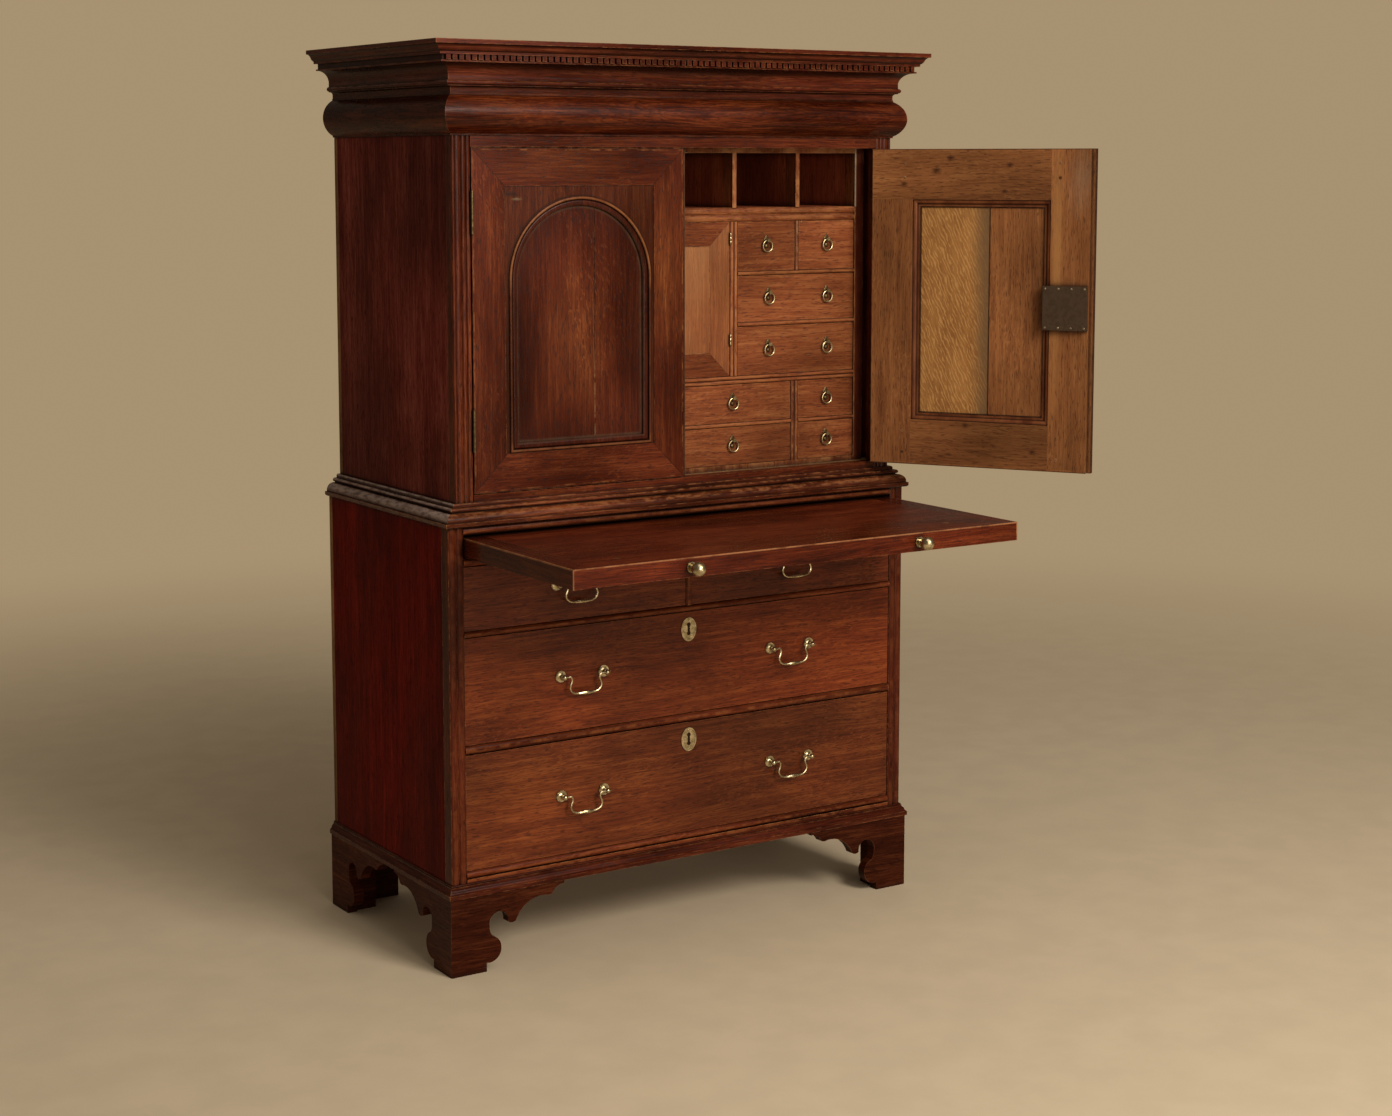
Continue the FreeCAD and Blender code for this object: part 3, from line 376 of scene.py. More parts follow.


# oak finishes: deep, middle and pale of the figure, then gloss, worn edges with painted highlight, and dirt
# with painted shade
finishes = {
    "front": {"tones": ((0.046, 0.0070, 0.0026), (0.118, 0.0225, 0.0068), (0.215, 0.0560, 0.0165)),
              "rough": 0.30, "wornAndLit": (0.33, 0.13, 0.048), "rub": 0.8, "fleck": 0.40},
    "door": {"tones": ((0.022, 0.0029, 0.0009), (0.070, 0.0115, 0.0032), (0.150, 0.0355, 0.0102)),
             "rough": 0.30, "wornAndLit": (0.26, 0.10, 0.040), "rub": 0.8, "fleck": 0.40, "sheen": 0.15},
    "side": {"tones": ((0.052, 0.0040, 0.0018), (0.108, 0.0110, 0.0052), (0.180, 0.0260, 0.0120)),
             "rough": 0.36, "wornAndLit": (0.17, 0.045, 0.018), "rub": 0.6, "fleck": 0.15, "sheen": 0.02},
    "slide": {"tones": ((0.040, 0.0060, 0.0024), (0.092, 0.0160, 0.0056), (0.175, 0.0430, 0.0145)),
              "rough": 0.26, "wornAndLit": (0.26, 0.10, 0.038), "rub": 0.9, "fleck": 0.35},
    "moulding": {"tones": ((0.026, 0.0038, 0.0016), (0.066, 0.0105, 0.0038), (0.135, 0.0310, 0.0105)),
                 "rough": 0.28, "wornAndLit": (0.32, 0.13, 0.050), "rub": 1.0, "fleck": 0.30, "sheen": 0.12},
    "rail": {"tones": ((0.048, 0.0074, 0.0026), (0.112, 0.0210, 0.0064), (0.205, 0.0560, 0.0165)),
             "rough": 0.28, "wornAndLit": (0.42, 0.19, 0.075), "rub": 1.5, "fleck": 0.45, "sheen": 0.12},
    "foot": {"tones": ((0.016, 0.0020, 0.0008), (0.040, 0.0058, 0.0020), (0.085, 0.0180, 0.0060)),
             "rough": 0.36, "wornAndLit": (0.20, 0.07, 0.026), "rub": 0.8, "fleck": 0.20, "sheen": 0.06},
    "inside": {"tones": ((0.070, 0.0135, 0.0044), (0.165, 0.0440, 0.0138), (0.285, 0.104, 0.0350)),
               "rough": 0.34, "wornAndLit": (0.44, 0.20, 0.078), "rub": 1.0, "fleck": 0.30},
    "doorBack": {"tones": ((0.095, 0.0310, 0.0115), (0.195, 0.0740, 0.0250), (0.300, 0.130, 0.0470)),
                 "rough": 0.42, "wornAndLit": (0.36, 0.18, 0.075), "rub": 0.8, "fleck": 0.35},
    "golden": {"tones": ((0.205, 0.082, 0.0230), (0.345, 0.165, 0.0500), (0.560, 0.315, 0.112)),
               "rough": 0.42, "wornAndLit": (0.46, 0.25, 0.10), "rub": 0.5, "fleck": 0.95},
    "unlit": {"tones": ((0.150, 0.0300, 0.0120), (0.270, 0.0620, 0.0240), (0.380, 0.105, 0.0400)),
              "rough": 0.55, "wornAndLit": (0.18, 0.07, 0.030), "rub": 0.4, "fleck": 0.1},
    "raw": {"tones": ((0.130, 0.062, 0.0270), (0.225, 0.122, 0.0560), (0.310, 0.185, 0.0900)),
            "rough": 0.62, "wornAndLit": (0.40, 0.26, 0.14), "rub": 0.5, "fleck": 0.35},
}
# dark for joints and cracks, and for painted shade in recesses, creases and under-faces
dirtAndShade = (0.012, 0.005, 0.003)
# multipliers for marks: glow is lighter patches of painted light, amber a golden polish that lets lighter
# wood through, shade darker patches of painted shade
washes = {"glow": (1.85, 2.0, 1.9), "amber": (1.75, 2.7, 2.6), "shade": (0.42, 0.34, 0.34)}
brassLook = {"bright": (0.66, 0.56, 0.36), "aged": (0.34, 0.265, 0.135), "dark": (0.045, 0.030, 0.013),
             "rough": 0.30}
ringLook = {"bright": (0.44, 0.355, 0.195), "aged": (0.25, 0.19, 0.095), "dark": (0.045, 0.030, 0.013),
            "rough": 0.36}
hingeLook = {"bright": (0.17, 0.12, 0.055), "aged": (0.085, 0.054, 0.024), "dark": (0.022, 0.012, 0.006),
             "rough": 0.48}
ironLook = {"bright": (0.150, 0.104, 0.070), "aged": (0.092, 0.060, 0.038), "dark": (0.070, 0.036, 0.018),
            "rough": 0.42}
nailLook = {"bright": (0.34, 0.26, 0.17), "aged": (0.22, 0.16, 0.10), "dark": (0.09, 0.05, 0.03),
            "rough": 0.4}


def oakFinish(name, finish, run, seed=0.0, behind=None, turned=False, marks=(), brassAhead=None,
              contrast=1.0, touch=None, gain=(1, 1, 1)):
    # behind = (y, finish) for what lies further back; marks = (centre, reach, colour or wash, share);
    # touch paints more on top; gain scales the tones
    look = finishes[finish]
    material = bpy.data.materials.new(name)
    material.use_nodes = True
    tree = material.node_tree
    shader = tree.nodes["Principled BSDF"]
    source = put(tree, "TexCoord").outputs
    place, facing = source["Object"], source["Normal"]
    if turned:  # the open door's own directions, as when it is shut
        pivot = at(*rightDoor["pivot"], 0)
        angle = math.radians(rightDoor["open"])
        spin = put(tree, "Mapping", {"Vector": place, "Location": pivot, "Rotation": (0, 0, angle)},
                   vector_type="TEXTURE")
        place = shifted(tree, spin.outputs[0], pivot)
    along = shifted(tree, run(tree, place, facing), (seed * 1.73, seed * 0.37, seed * 0.59))
    depth = split(tree, place)[1]
    tones = [tint(np.multiply(c, gain)) for c in look["tones"]]
    if behind:
        backward = isAbove(tree, depth, at(0, behind[0], 0)[1])
        tones = [painted(tree, a, b, backward) for a, b in zip(tones, finishes[behind[1]]["tones"])]
    figure = placed(tree, oakFigure, {"Along": along, "Deep": tones[0], "Middle": tones[1], "Pale": tones[2],
                                      "Fleck": look["fleck"], "Contrast": contrast})
    colour = figure["Color"]
    for centre, reach, paint, share in marks:
        metres = tuple(r / 1000 for r in reach)
        mask = placed(tree, wornPatch, {"Place": place, "Centre": centre, "Reach": metres})["Mask"]
        if behind and not turned:  # these marks are on the front only
            mask = times(tree, mask, less(tree, 1.0, backward))
        if paint in washes:
            colour = washed(tree, colour, washes[paint], mask, share)
        else:
            colour = painted(tree, colour, paint, mask, share)
    if touch:
        colour = touch(tree, place, colour)
    edgeAndRecess = placed(tree, wearAndShade, {"Radius": 0.0026, "Rub": look["rub"], "Reach": 0.02})
    # pale edges: rubbed wear with a painted highlight; darkened recesses: dirt with painted shade
    colour = painted(tree, colour, look["wornAndLit"], edgeAndRecess["Edge"])
    colour = painted(tree, colour, dirtAndShade, edgeAndRecess["Recess"], 0.9)
    rough = sums(tree, "ADD", figure["Rough"], look["rough"])
    if behind:
        rough = sums(tree, "ADD", rough, times(tree, backward, finishes[behind[1]]["rough"] - look["rough"]))
    if brassAhead is not None:  # pull posts that stand on the drawer's face
        metal = isBelow(tree, depth, at(0, brassAhead, 0)[1])
        colour = painted(tree, colour, brassLook["aged"], metal)
        tree.links.new(metal, shader.inputs["Metallic"])
    tree.links.new(colour, shader.inputs["Base Color"])
    tree.links.new(rough, shader.inputs["Roughness"])
    bump = put(tree, "Bump", {"Strength": 0.22, "Distance": 0.0006, "Height": figure["Height"]})
    tree.links.new(bump.outputs[0], shader.inputs["Normal"])
    shader.inputs["Specular IOR Level"].default_value = look.get("sheen", 0.2)
    return material


def metalFinish(name, look, metallic=1.0):
    # cast metal gone dull, dark in its hollows and rubbed bright where hands touch it
    material = bpy.data.materials.new(name)
    material.use_nodes = True
    tree = material.node_tree
    shader = tree.nodes["Principled BSDF"]
    place = put(tree, "TexCoord").outputs["Object"]
    cloud = noise(tree, scaled(tree, place, (95.0,) * 3), 4.0, 0.6)
    speck = noise(tree, scaled(tree, place, (520.0,) * 3), 2.0)
    edgeAndRecess = placed(tree, wearAndShade, {"Radius": 0.0012, "Rub": 1.2, "Reach": 0.006})
    colour = blended(tree, spread(tree, cloud, 0.36, 0.66), tint(look["bright"]), tint(look["aged"]))
    colour = painted(tree, colour, look["dark"], spread(tree, speck, 0.56, 0.72), 0.6)
    colour = painted(tree, colour, look["dark"], edgeAndRecess["Recess"], 0.85)
    colour = painted(tree, colour, look["bright"], edgeAndRecess["Edge"])
    tree.links.new(colour, shader.inputs["Base Color"])
    rough = spread(tree, cloud, 0.3, 0.7, look["rough"] - 0.08, look["rough"] + 0.12)
    tree.links.new(rough, shader.inputs["Roughness"])
    bump = put(tree, "Bump", {"Strength": 0.12, "Distance": 0.0004, "Height": speck})
    tree.links.new(bump.outputs[0], shader.inputs["Normal"])
    shader.inputs["Metallic"].default_value = metallic
    return material


def beadWearAndShade(front, rubbedAndLit, flankShade=0.9):
    # beads along a front edge: crests paler in dashes, rubbed and painted highlight, with painted shade on
    # their flanks
    def touch(tree, place, colour):
        facing = split(tree, put(tree, "TexCoord").outputs["Normal"])[1]
        fore = isBelow(tree, split(tree, place)[1], at(0, front + 3.0, 0)[1])
        level = sizeOf(tree, facing)
        ragged = noise(tree, scaled(tree, place, (30.0,) * 3), 4.0, 0.65)
        crest = times(tree, spread(tree, level, 0.9, 0.99), spread(tree, ragged, 0.40, 0.66, 0.0, 0.6))
        colour = painted(tree, colour, rubbedAndLit, crest, fore)
        # painted shade on the flanks, by how far they turn from the front
        flank = times(tree, spread(tree, level, 0.88, 0.55), fore)
        return painted(tree, colour, dirtAndShade, flank, flankShade)
    return touch


def dress(node, material):
    mesh = nodes[node].data
    mesh.materials.clear()
    mesh.materials.append(material)


def dressOak(node, name, *finish, **more):
    dress(node, oakFinish(name, *finish, **more))


backing = {"board": 196.0, "joint": 1.6, "spread": (0.78, 1.14)}


def boarded(tree, place, colour):
    # the back is of upright boards, each its own tone, with a dark open joint between
    x = times(tree, less(tree, split(tree, place)[0], midX), 1000.0 / backing["board"])
    each = put(tree, "TexWhiteNoise", {"W": sums(tree, "FLOOR", x)}, noise_dimensions="1D").outputs["Value"]
    shade = put(tree, "MapRange", {0: each, 3: backing["spread"][0], 4: backing["spread"][1]}).outputs[0]
    colour = blended(tree, 1.0, colour, shade, "MULTIPLY")
    gap = apart(tree, sums(tree, "FRACT", x), 0.5)
    return painted(tree, colour, dirtAndShade, spread(tree, gap, 0.5 - backing["joint"] / backing["board"], 0.5))


# carcass, mouldings and feet
# the first two colours: pale of up-facing moulding, rubbed and painted highlight, and a painted sheen for
# left returns
mouldings = {"rubbedAndLit": (0.26, 0.098, 0.036), "paintedSheen": (0.40, 0.31, 0.275),
             "flame": ((110.0, 1630.0), (0.26, 0.030), 7.0), "flameWash": (0.42, 0.34, 0.30)}


def mouldingLightAndWear(crest, paintedSheen):
    # faces up are paler in dashes, rubbed and painted highlight; the left return has a painted sheen; faces
    # down painted shade
    def touch(tree, place, colour):
        facing = split(tree, put(tree, "TexCoord").outputs["Normal"])
        ragged = noise(tree, scaled(tree, place, (48.0, 48.0, 170.0)), 4.0, 0.65)
        up = times(tree, spread(tree, facing[2], 0.15, 0.6), spread(tree, ragged, 0.42, 0.64, 0.0, crest))
        colour = painted(tree, colour, mouldings["rubbedAndLit"], up)
        left = times(tree, spread(tree, facing[0], -0.1, -0.4), spread(tree, facing[2], -0.2, 0.4))
        colour = painted(tree, colour, mouldings["paintedSheen"], left,
                         spread(tree, ragged, 0.3, 0.6, 0.3 * paintedSheen, paintedSheen))
        return painted(tree, colour, dirtAndShade, spread(tree, facing[2], -0.35, -0.85, 0.0, 0.8))
    return touch


def flame(tree, place, colour):
    # the arched figure of a slab-cut board: rings round a long oval, bent by noise, in fine dark lines
    (x, z), (wide, high), rings = mouldings["flame"]
    near = shifted(tree, place, tuple(-v for v in at(x, 0, z)))
    near = scaled(tree, near, (1.0 / wide, 0.0, 1.0 / high))
    out = put(tree, "VectorMath", {0: near}, operation="LENGTH").outputs["Value"]
    bend = noise(tree, scaled(tree, place, (9.0, 9.0, 40.0)), 3.0, 0.6)
    turn = sums(tree, "FRACT", times(tree, sums(tree, "MULTIPLY_ADD", bend, 0.9, out), rings))
    line = times(tree, spread(tree, turn, 0.35, 0.95), spread(tree, out, 2.3, 0.9))
    return washed(tree, colour, mouldings["flameWash"], line, 0.6)


cabinet = {"doorEdge": 469.2, "opening": 501.5, "sideBack": 520.0, "railBack": 31.0,
           "stileWash": (0.52, 0.38, 0.36), "rubbedAndLit": (0.22, 0.068, 0.021)}


def darkStiles(tree, place, colour):
    # the chest's uprights are darker and redder than its rails
    # bead crests paler, rubbed and painted highlight, and a little painted shade on the flanks
    colour = beadWearAndShade(0.0, cabinet["rubbedAndLit"], 0.25)(tree, place, colour)
    x = apart(tree, split(tree, place)[0], midX)
    beyond = times(tree, isAbove(tree, x, cabinet["opening"] / 1000), 0.85)
    return washed(tree, colour, cabinet["stileWash"], beyond)


sideBack = (cabinet["sideBack"], "raw")
# a band of painted light along the waist's front; on the frieze a painted highlight at the left and a small
# spot of painted shade
waistMarks = [(at(-330, -10, 880), (330, 60, 40), "glow", 0.9)]
friezeMarks = [(at(-380, -5, 1635), (190, 60, 60), "glow", 0.7),
               (at(-291, -3, 1609.5), (9, 40, 7), "shade", 1.0)]
dressOak("chest_sides", "chestSideOak", "side", upright, 1.0, behind=sideBack, gain=(0.98, 0.47, 0.48))
dressOak("cabinet_sides", "cabinetSideOak", "side", upright, 2.0, behind=sideBack, gain=(1.25, 2.2, 3.4))
dressOak("chest_front_frame", "chestFrameOak", "rail", stilesBeyond(cabinet["opening"]), 3.0,
         behind=(cabinet["railBack"], "raw"), touch=darkStiles)
dressOak("cabinet_front_frame", "cabinetFrameOak", "door", stilesBeyond(cabinet["doorEdge"]), 4.0)
dressOak("base_moulding", "baseMouldingOak", "moulding", roundTheSides, 5.0)
dressOak("bracket_feet", "bracketFootOak", "foot", roundTheSides, 6.0, gain=(1.15, 1.4, 1.4))
dressOak("waist_moulding", "waistMouldingOak", "moulding", roundTheSides, 7.0, contrast=1.3,
         gain=(0.85, 1.05, 1.0), marks=waistMarks, touch=mouldingLightAndWear(0.6, 0.75))
dressOak("cushion_frieze", "friezeOak", "door", roundTheSides, 8.0, contrast=1.3,
         gain=(0.78, 0.70, 0.62), marks=friezeMarks, touch=flame)
dressOak("cornice_moulding", "corniceOak", "moulding", roundTheSides, 9.0, touch=mouldingLightAndWear(0.35, 0.2))
dressOak("dentil_strip", "dentilOak", "moulding", across, 10.0)
for number, node in enumerate(("cabinet_back", "chest_back")):
    dressOak(node, node + "Oak", "raw", upright, 11.0 + number, touch=boarded)
rawBoards = {"chest_dust_boards": across, "chest_top": across, "cornice_frame": across,
             "drawer_guides": deepwise, "cabinet_boards": deepwise}
for number, (node, run) in enumerate(rawBoards.items()):
    dressOak(node, node + "Oak", "raw", run, 13.0 + number)
print("carcass dressed")

# doors
doors = {
    "left": (-468.4, -0.75, 917.5, 1563.5), "right": (0.75, 468.4, 917.5, 1563.5),
    "stile": 88.0, "through": 102.0, "face": 20.0, "lap": 28.7, "panelMid": 26.0,
    "archMid": 234.6, "archSpring": 1315.65, "archIn": 138.85, "archOut": 156.85, "archFoot": 1008.5,
    "hole": (69.75, 399.45, 989.5, 1492.5), "backHole": (88.75, 379.7, 1010.5, 1461.5), "rim": 15.0,
    "leftJoint": 201.6, "boardJoint": 218.1, "chalkTop": (1190.0, 1120.0),
    "fieldWash": (0.52, 0.46, 0.52), "spandrelWash": (0.78, 0.95, 0.95), "goldWash": (1.6, 1.9, 1.7),
    "rimDark": (0.075, 0.019, 0.007), "rimPale": (0.185, 0.062, 0.022), "grey": (0.120, 0.072, 0.036),
    # first on this line a painted highlight for beads and door edges; last on it a dark for joints, cracks,
    # damage and painted shade in creases and gaps
    "paleHighlight": (0.30, 0.115, 0.038), "dust": (0.125, 0.082, 0.050), "darkAndShade": (0.018, 0.006, 0.003),
    "chalk": (0.27, 0.17, 0.085), "knot": (0.035, 0.012, 0.006), "straw": (0.33, 0.155, 0.052),
    "ash": (0.215, 0.135, 0.085)}


def archMoulding(side, joint):
    # out is the distance from the panel's middle line: across, round the head, and the same below the foot
    def touch(tree, place, colour):
        x, y, z = inMm(tree, place)
        x = times(tree, x, side)
        dx = less(tree, x, doors["archMid"])
        rise = most(tree, less(tree, z, doors["archSpring"]), 0.0)
        out = sums(tree, "SQRT", sums(tree, "ADD", times(tree, dx, dx), times(tree, rise, rise)))
        out = most(tree, out, less(tree, doors["archFoot"] + doors["archIn"], z))
        front = isBelow(tree, y, at(0, doors["panelMid"], 0)[1])
        ragged = noise(tree, scaled(tree, place, (40.0,) * 3), 3.0)
        inner, outer = doors["archIn"], doors["archOut"]
        # the field darkens and greys towards its edge, the spandrels are olive, a dark line of joint and
        # painted shade meets the frame
        near = times(tree, spread(tree, out, inner - 85, inner - 3), spread(tree, out, outer, outer - 3),
                     front)
        colour = washed(tree, colour, doors["fieldWash"], near, 0.8)
        beyond = times(tree, spread(tree, out, outer - 1, outer + 1), front)
        colour = washed(tree, colour, doors["spandrelWash"], beyond, 0.85)
        reach = least(tree, *insets(tree, x, z, *doors["hole"]))
        colour = painted(tree, colour, doors["darkAndShade"], spread(tree, reach, 3.0, 0.5), 0.75)
        # the painted highlight on the bead is strongest on the head, where the light falls
        upper = spread(tree, z, doors["archSpring"] - 40, doors["archSpring"] + 20, 0.16, 1.0)
        upper = most(tree, upper, spread(tree, z, doors["archFoot"] + 12, doors["archFoot"] - 12, 0.0, 0.6))
        # bands: dust at the inner edge, painted shade in the quirk and just outside, a pale painted highlight
        # on the bead
        bands = (("dust", inner - 7, inner - 0.5, inner + 3, 0.4),
                 ("darkAndShade", outer - 9, outer - 6.5, outer - 5, 0.85),
                 ("paleHighlight", outer - 7, outer - 3, outer + 0.5, 0.7),
                 ("darkAndShade", outer - 0.5, outer + 1.5, outer + 5, 0.7))
        for paint, start, peak, end, share in bands:
            band = times(tree, spread(tree, out, start, peak), spread(tree, out, end, peak))
            band = times(tree, band, front, spread(tree, ragged, 0.25, 0.6, 0.4 * share, share))
            if paint == "paleHighlight":
                band = times(tree, band, upper)
            colour = painted(tree, colour, doors[paint], band)
        # the open joint of the two boards: dark, with chalky dust along its lower part
        crack = spread(tree, apart(tree, x, joint), 1.6, 0.4)
        crack = times(tree, crack, front, spread(tree, out, inner, inner - 4))
        chalky = times(tree, spread(tree, z, *doors["chalkTop"]), spread(tree, ragged, 0.42, 0.55))
        return blended(tree, times(tree, crack, 0.8), colour,
                       blended(tree, chalky, tint(doors["darkAndShade"]), tint(doors["chalk"])))
    return touch


def panelBack(tree, place, colour):
    # behind the arch: a pale quartered board, rays in slanting wavy lines, beside a darker one; their joint
    # is grey with age, and a dark moulding runs round
    x, y, z = inMm(tree, place)
    behind = isAbove(tree, y, at(0, doors["panelMid"], 0)[1])
    reach = least(tree, *insets(tree, x, z, *doors["backHole"]))
    ragged = noise(tree, scaled(tree, place, (26.0, 26.0, 9.0)), 4.0, 0.65)
    slant = put(tree, "VectorRotate", {"Vector": place, "Angle": -0.42}, rotation_type="Y_AXIS").outputs[0]
    ray = put(tree, "TexWave", {
        "Vector": scaled(tree, slant, (1.0, 0.0, 0.45)), "Scale": 48.0, "Distortion": 8.0,
        "Detail": 2.0, "Detail Scale": 1.6, "Detail Roughness": 0.5}).outputs["Fac"]
    broken = spread(tree, noise(tree, scaled(tree, slant, (150.0, 30.0, 60.0)), 2.0, 0.6), 0.36, 0.52)
    ray = times(tree, spread(tree, ray, 0.55, 0.85), broken)
    deep, middle, pale = finishes["golden"]["tones"]
    mottle = spread(tree, ragged, 0.3, 0.7)
    gold = painted(tree, blended(tree, mottle, tint(deep), tint(middle)), pale, ray, 0.65)
    gold = blended(tree, 0.25, gold, blended(tree, 1.0, colour, tint(doors["goldWash"]), "MULTIPLY"))
    past = less(tree, x, doors["boardJoint"])
    grey = spread(tree, sums(tree, "MULTIPLY_ADD", ragged, -46.0, past), 22.0, -22.0)
    gold = painted(tree, gold, doors["grey"], grey, 0.85)
    board = times(tree, isAbove(tree, past, 0.0), behind)
    colour = blended(tree, times(tree, board, 0.96), colour, gold)
    line = times(tree, spread(tree, sizeOf(tree, past), 2.2, 0.8), behind)
    colour = painted(tree, colour, doors["darkAndShade"], line, 0.85)
    rim = times(tree, isBelow(tree, reach, doors["rim"]), behind)
    edging = blended(tree, mottle, tint(doors["rimDark"]), tint(doors["rimPale"]))
    colour = blended(tree, rim, colour, edging)
    # dark lines at the steps of the moulding round the back: painted shade in its creases
    for where, share in ((0.0, 0.9), (9.0, 0.6), (doors["rim"], 0.9)):
        line = spread(tree, apart(tree, reach, where), 2.4, 0.6)
        colour = painted(tree, colour, doors["darkAndShade"], line, behind, share)
    return colour


def doorLines(x0, x1, z0, z1):
    # painted shade along the door's edge, a painted highlight just inside it, and the open joints of the
    # mitres in front
    def touch(tree, place, colour):
        x, y, z = inMm(tree, place)
        sides, ends = insets(tree, x, z, x0, x1, z0, z1)
        front = isBelow(tree, y, at(0, doors["face"], 0)[1])
        ragged = noise(tree, scaled(tree, place, (34.0,) * 3), 4.0, 0.65)
        mitre = spread(tree, apart(tree, sides, ends), 1.8, 0.4)
        mitre = times(tree, mitre, front, spread(tree, ragged, 0.3, 0.6, 0.35, 0.8))
        colour = painted(tree, colour, doors["darkAndShade"], mitre)
        inward = least(tree, sides, ends)
        rub = times(tree, spread(tree, inward, 1.5, 3.0), spread(tree, inward, 6.0, 3.5))
        colour = painted(tree, colour, doors["paleHighlight"], rub, spread(tree, ragged, 0.45, 0.65, 0.0, 0.45))
        return painted(tree, colour, doors["darkAndShade"], spread(tree, inward, 2.2, 0.8, 0.0, 0.75))
    return touch


leftRun = mitredFrame(*doors["left"], doors["lap"], doors["stile"])
rightRun = mitredFrame(*doors["right"], doors["lap"], doors["stile"], through=doors["through"])
# glow marks: painted light, lighter at the top left; shade marks: painted shade; amber: golden polish
leftFrameMarks = [
    (at(-430, 20, 1400), (70, 60, 260), "glow", 0.18), (at(-45, 20, 1330), (62, 60, 230), "amber", 0.7),
    (at(-30, 20, 1130), (60, 60, 170), "shade", 0.7), (at(-75, 20, 1545), (90, 60, 50), "shade", 0.6),
    (at(-250, 20, 1535), (200, 60, 60), "amber", 0.4), (at(-430, 20, 1010), (60, 60, 120), "shade", 0.35),
    (at(-35, 20, 1250), (50, 60, 330), "glow", 0.3)]
# amber: golden polish on the field; shade: painted shade on its sides; then a dark damaged corner with dust
leftPanelMarks = [
    (at(-245, 24, 1190), (100, 60, 190), "amber", 0.62), (at(-120, 24, 1180), (50, 60, 260), "shade", 0.45),
    (at(-350, 24, 1150), (45, 60, 260), "shade", 0.3), (at(-383, 24, 1477), (26, 30, 6), doors["darkAndShade"], 0.8),
    (at(-372, 24, 1468), (16, 30, 4), doors["chalk"], 0.5)]
frameBack, panelBehind = (doors["lap"], "doorBack"), (doors["panelMid"], "doorBack")
dressOak("left_door_frame", "leftDoorOak", "door", leftRun, 20.0, behind=frameBack, marks=leftFrameMarks,
         contrast=0.7, touch=doorLines(*doors["left"]))
dressOak("left_door_panel", "leftPanelOak", "door", upright, 21.0, behind=panelBehind, marks=leftPanelMarks,
         contrast=0.6, touch=archMoulding(-1, doors["leftJoint"]))
knots = [(399, 1492, 5), (175, 1531, 5), (186, 1479, 4), (300, 1545, 6), (330, 1520, 7), (120, 955, 5),
         (262, 1003, 5)]
doorBackMarks = [(at(x, 39, z), (2.2 * r, 12, 1.6 * r), doors["knot"], 0.9) for x, z, r in knots] + [
    (at(76, 39, 1330), (17, 12, 420), doors["straw"], 0.75),
    (at(28, 39, 1500), (40, 12, 95), doors["ash"], 0.4),
    (at(445, 39, 1030), (22, 12, 130), "shade", 0.6), (at(300, 39, 960), (170, 12, 60), "shade", 0.4),
    (at(380, 39, 1545), (120, 12, 60), "shade", 0.35)]
rightArch = archMoulding(1, doors["boardJoint"])


def rightPanelLook(tree, place, colour):
    return panelBack(tree, place, rightArch(tree, place, colour))


dressOak("right_door_frame", "rightDoorOak", "door", rightRun, 22.0, behind=frameBack, marks=doorBackMarks,
         turned=True, contrast=0.65, touch=doorLines(*doors["right"]))
dressOak("right_door_panel", "rightPanelOak", "door", upright, 23.0, behind=panelBehind, turned=True,
         contrast=0.7, touch=rightPanelLook)
print("doors dressed")

# drawers of the chest and the writing slide
# a near-black patch behind each key plate: painted shade standing for the bored keyhole
keyhole = ((19, 30, 32), (0.006, 0.003, 0.002), 1.0)
drawerBack = 26.5
# glow on the drawers' left is painted light, shade in the lower drawer's middle a painted shadow
drawers = {
    "lower_drawer": (30.0, (0.83, 0.86, 0.72), [
        (at(-390, 4, 320), (260, 60, 130), "glow", 0.55), (at(30, 4, 300), (160, 60, 110), "shade", 0.35),
        (at(0, 4, 388.7), *keyhole)]),
    "upper_drawer": (31.0, (1.12, 1.0, 0.8), [
        (at(-400, 4, 550), (250, 60, 120), "glow", 0.40), (at(0, 4, 612.7), *keyhole)]),
    "left_short_drawer": (32.0, (1, 1, 1), []), "right_short_drawer": (33.0, (1, 1, 1), [])}
for node, (seed, gain, marks) in drawers.items():
    dressOak(node, node + "Oak", "front", across, seed, behind=(drawerBack, "raw"), contrast=0.85, gain=gain,
             marks=marks)
slide = {"half": 500.5, "front": -405.0, "clamp": 46.0, "plug": (372.0, -340.0, 7.0), "top": 839.0,
         "rubbedAndLit": (0.34, 0.15, 0.065)}


def slideInsets(tree, place):
    # how far in from the nearer side edge and from the front edge, and down from the top, in mm
    parts = split(tree, place)
    away = apart(tree, parts[0], midX)
    side = sums(tree, "MULTIPLY_ADD", away, -1000.0, slide["half"])
    front = times(tree, less(tree, parts[1], at(0, slide["front"], 0)[1]), 1000.0)
    below = sums(tree, "MULTIPLY_ADD", parts[2], -1000.0, slide["top"])
    return side, front, below


def clampedRun(tree, place, facing):
    # the side clamps run back from their mitres, the rest runs across
    side, front, _ = slideInsets(tree, place)
    clamp = times(tree, isBelow(tree, side, slide["clamp"]), isBelow(tree, side, front))
    return eitherWay(tree, clamp, place, deepwise(tree, place, facing))


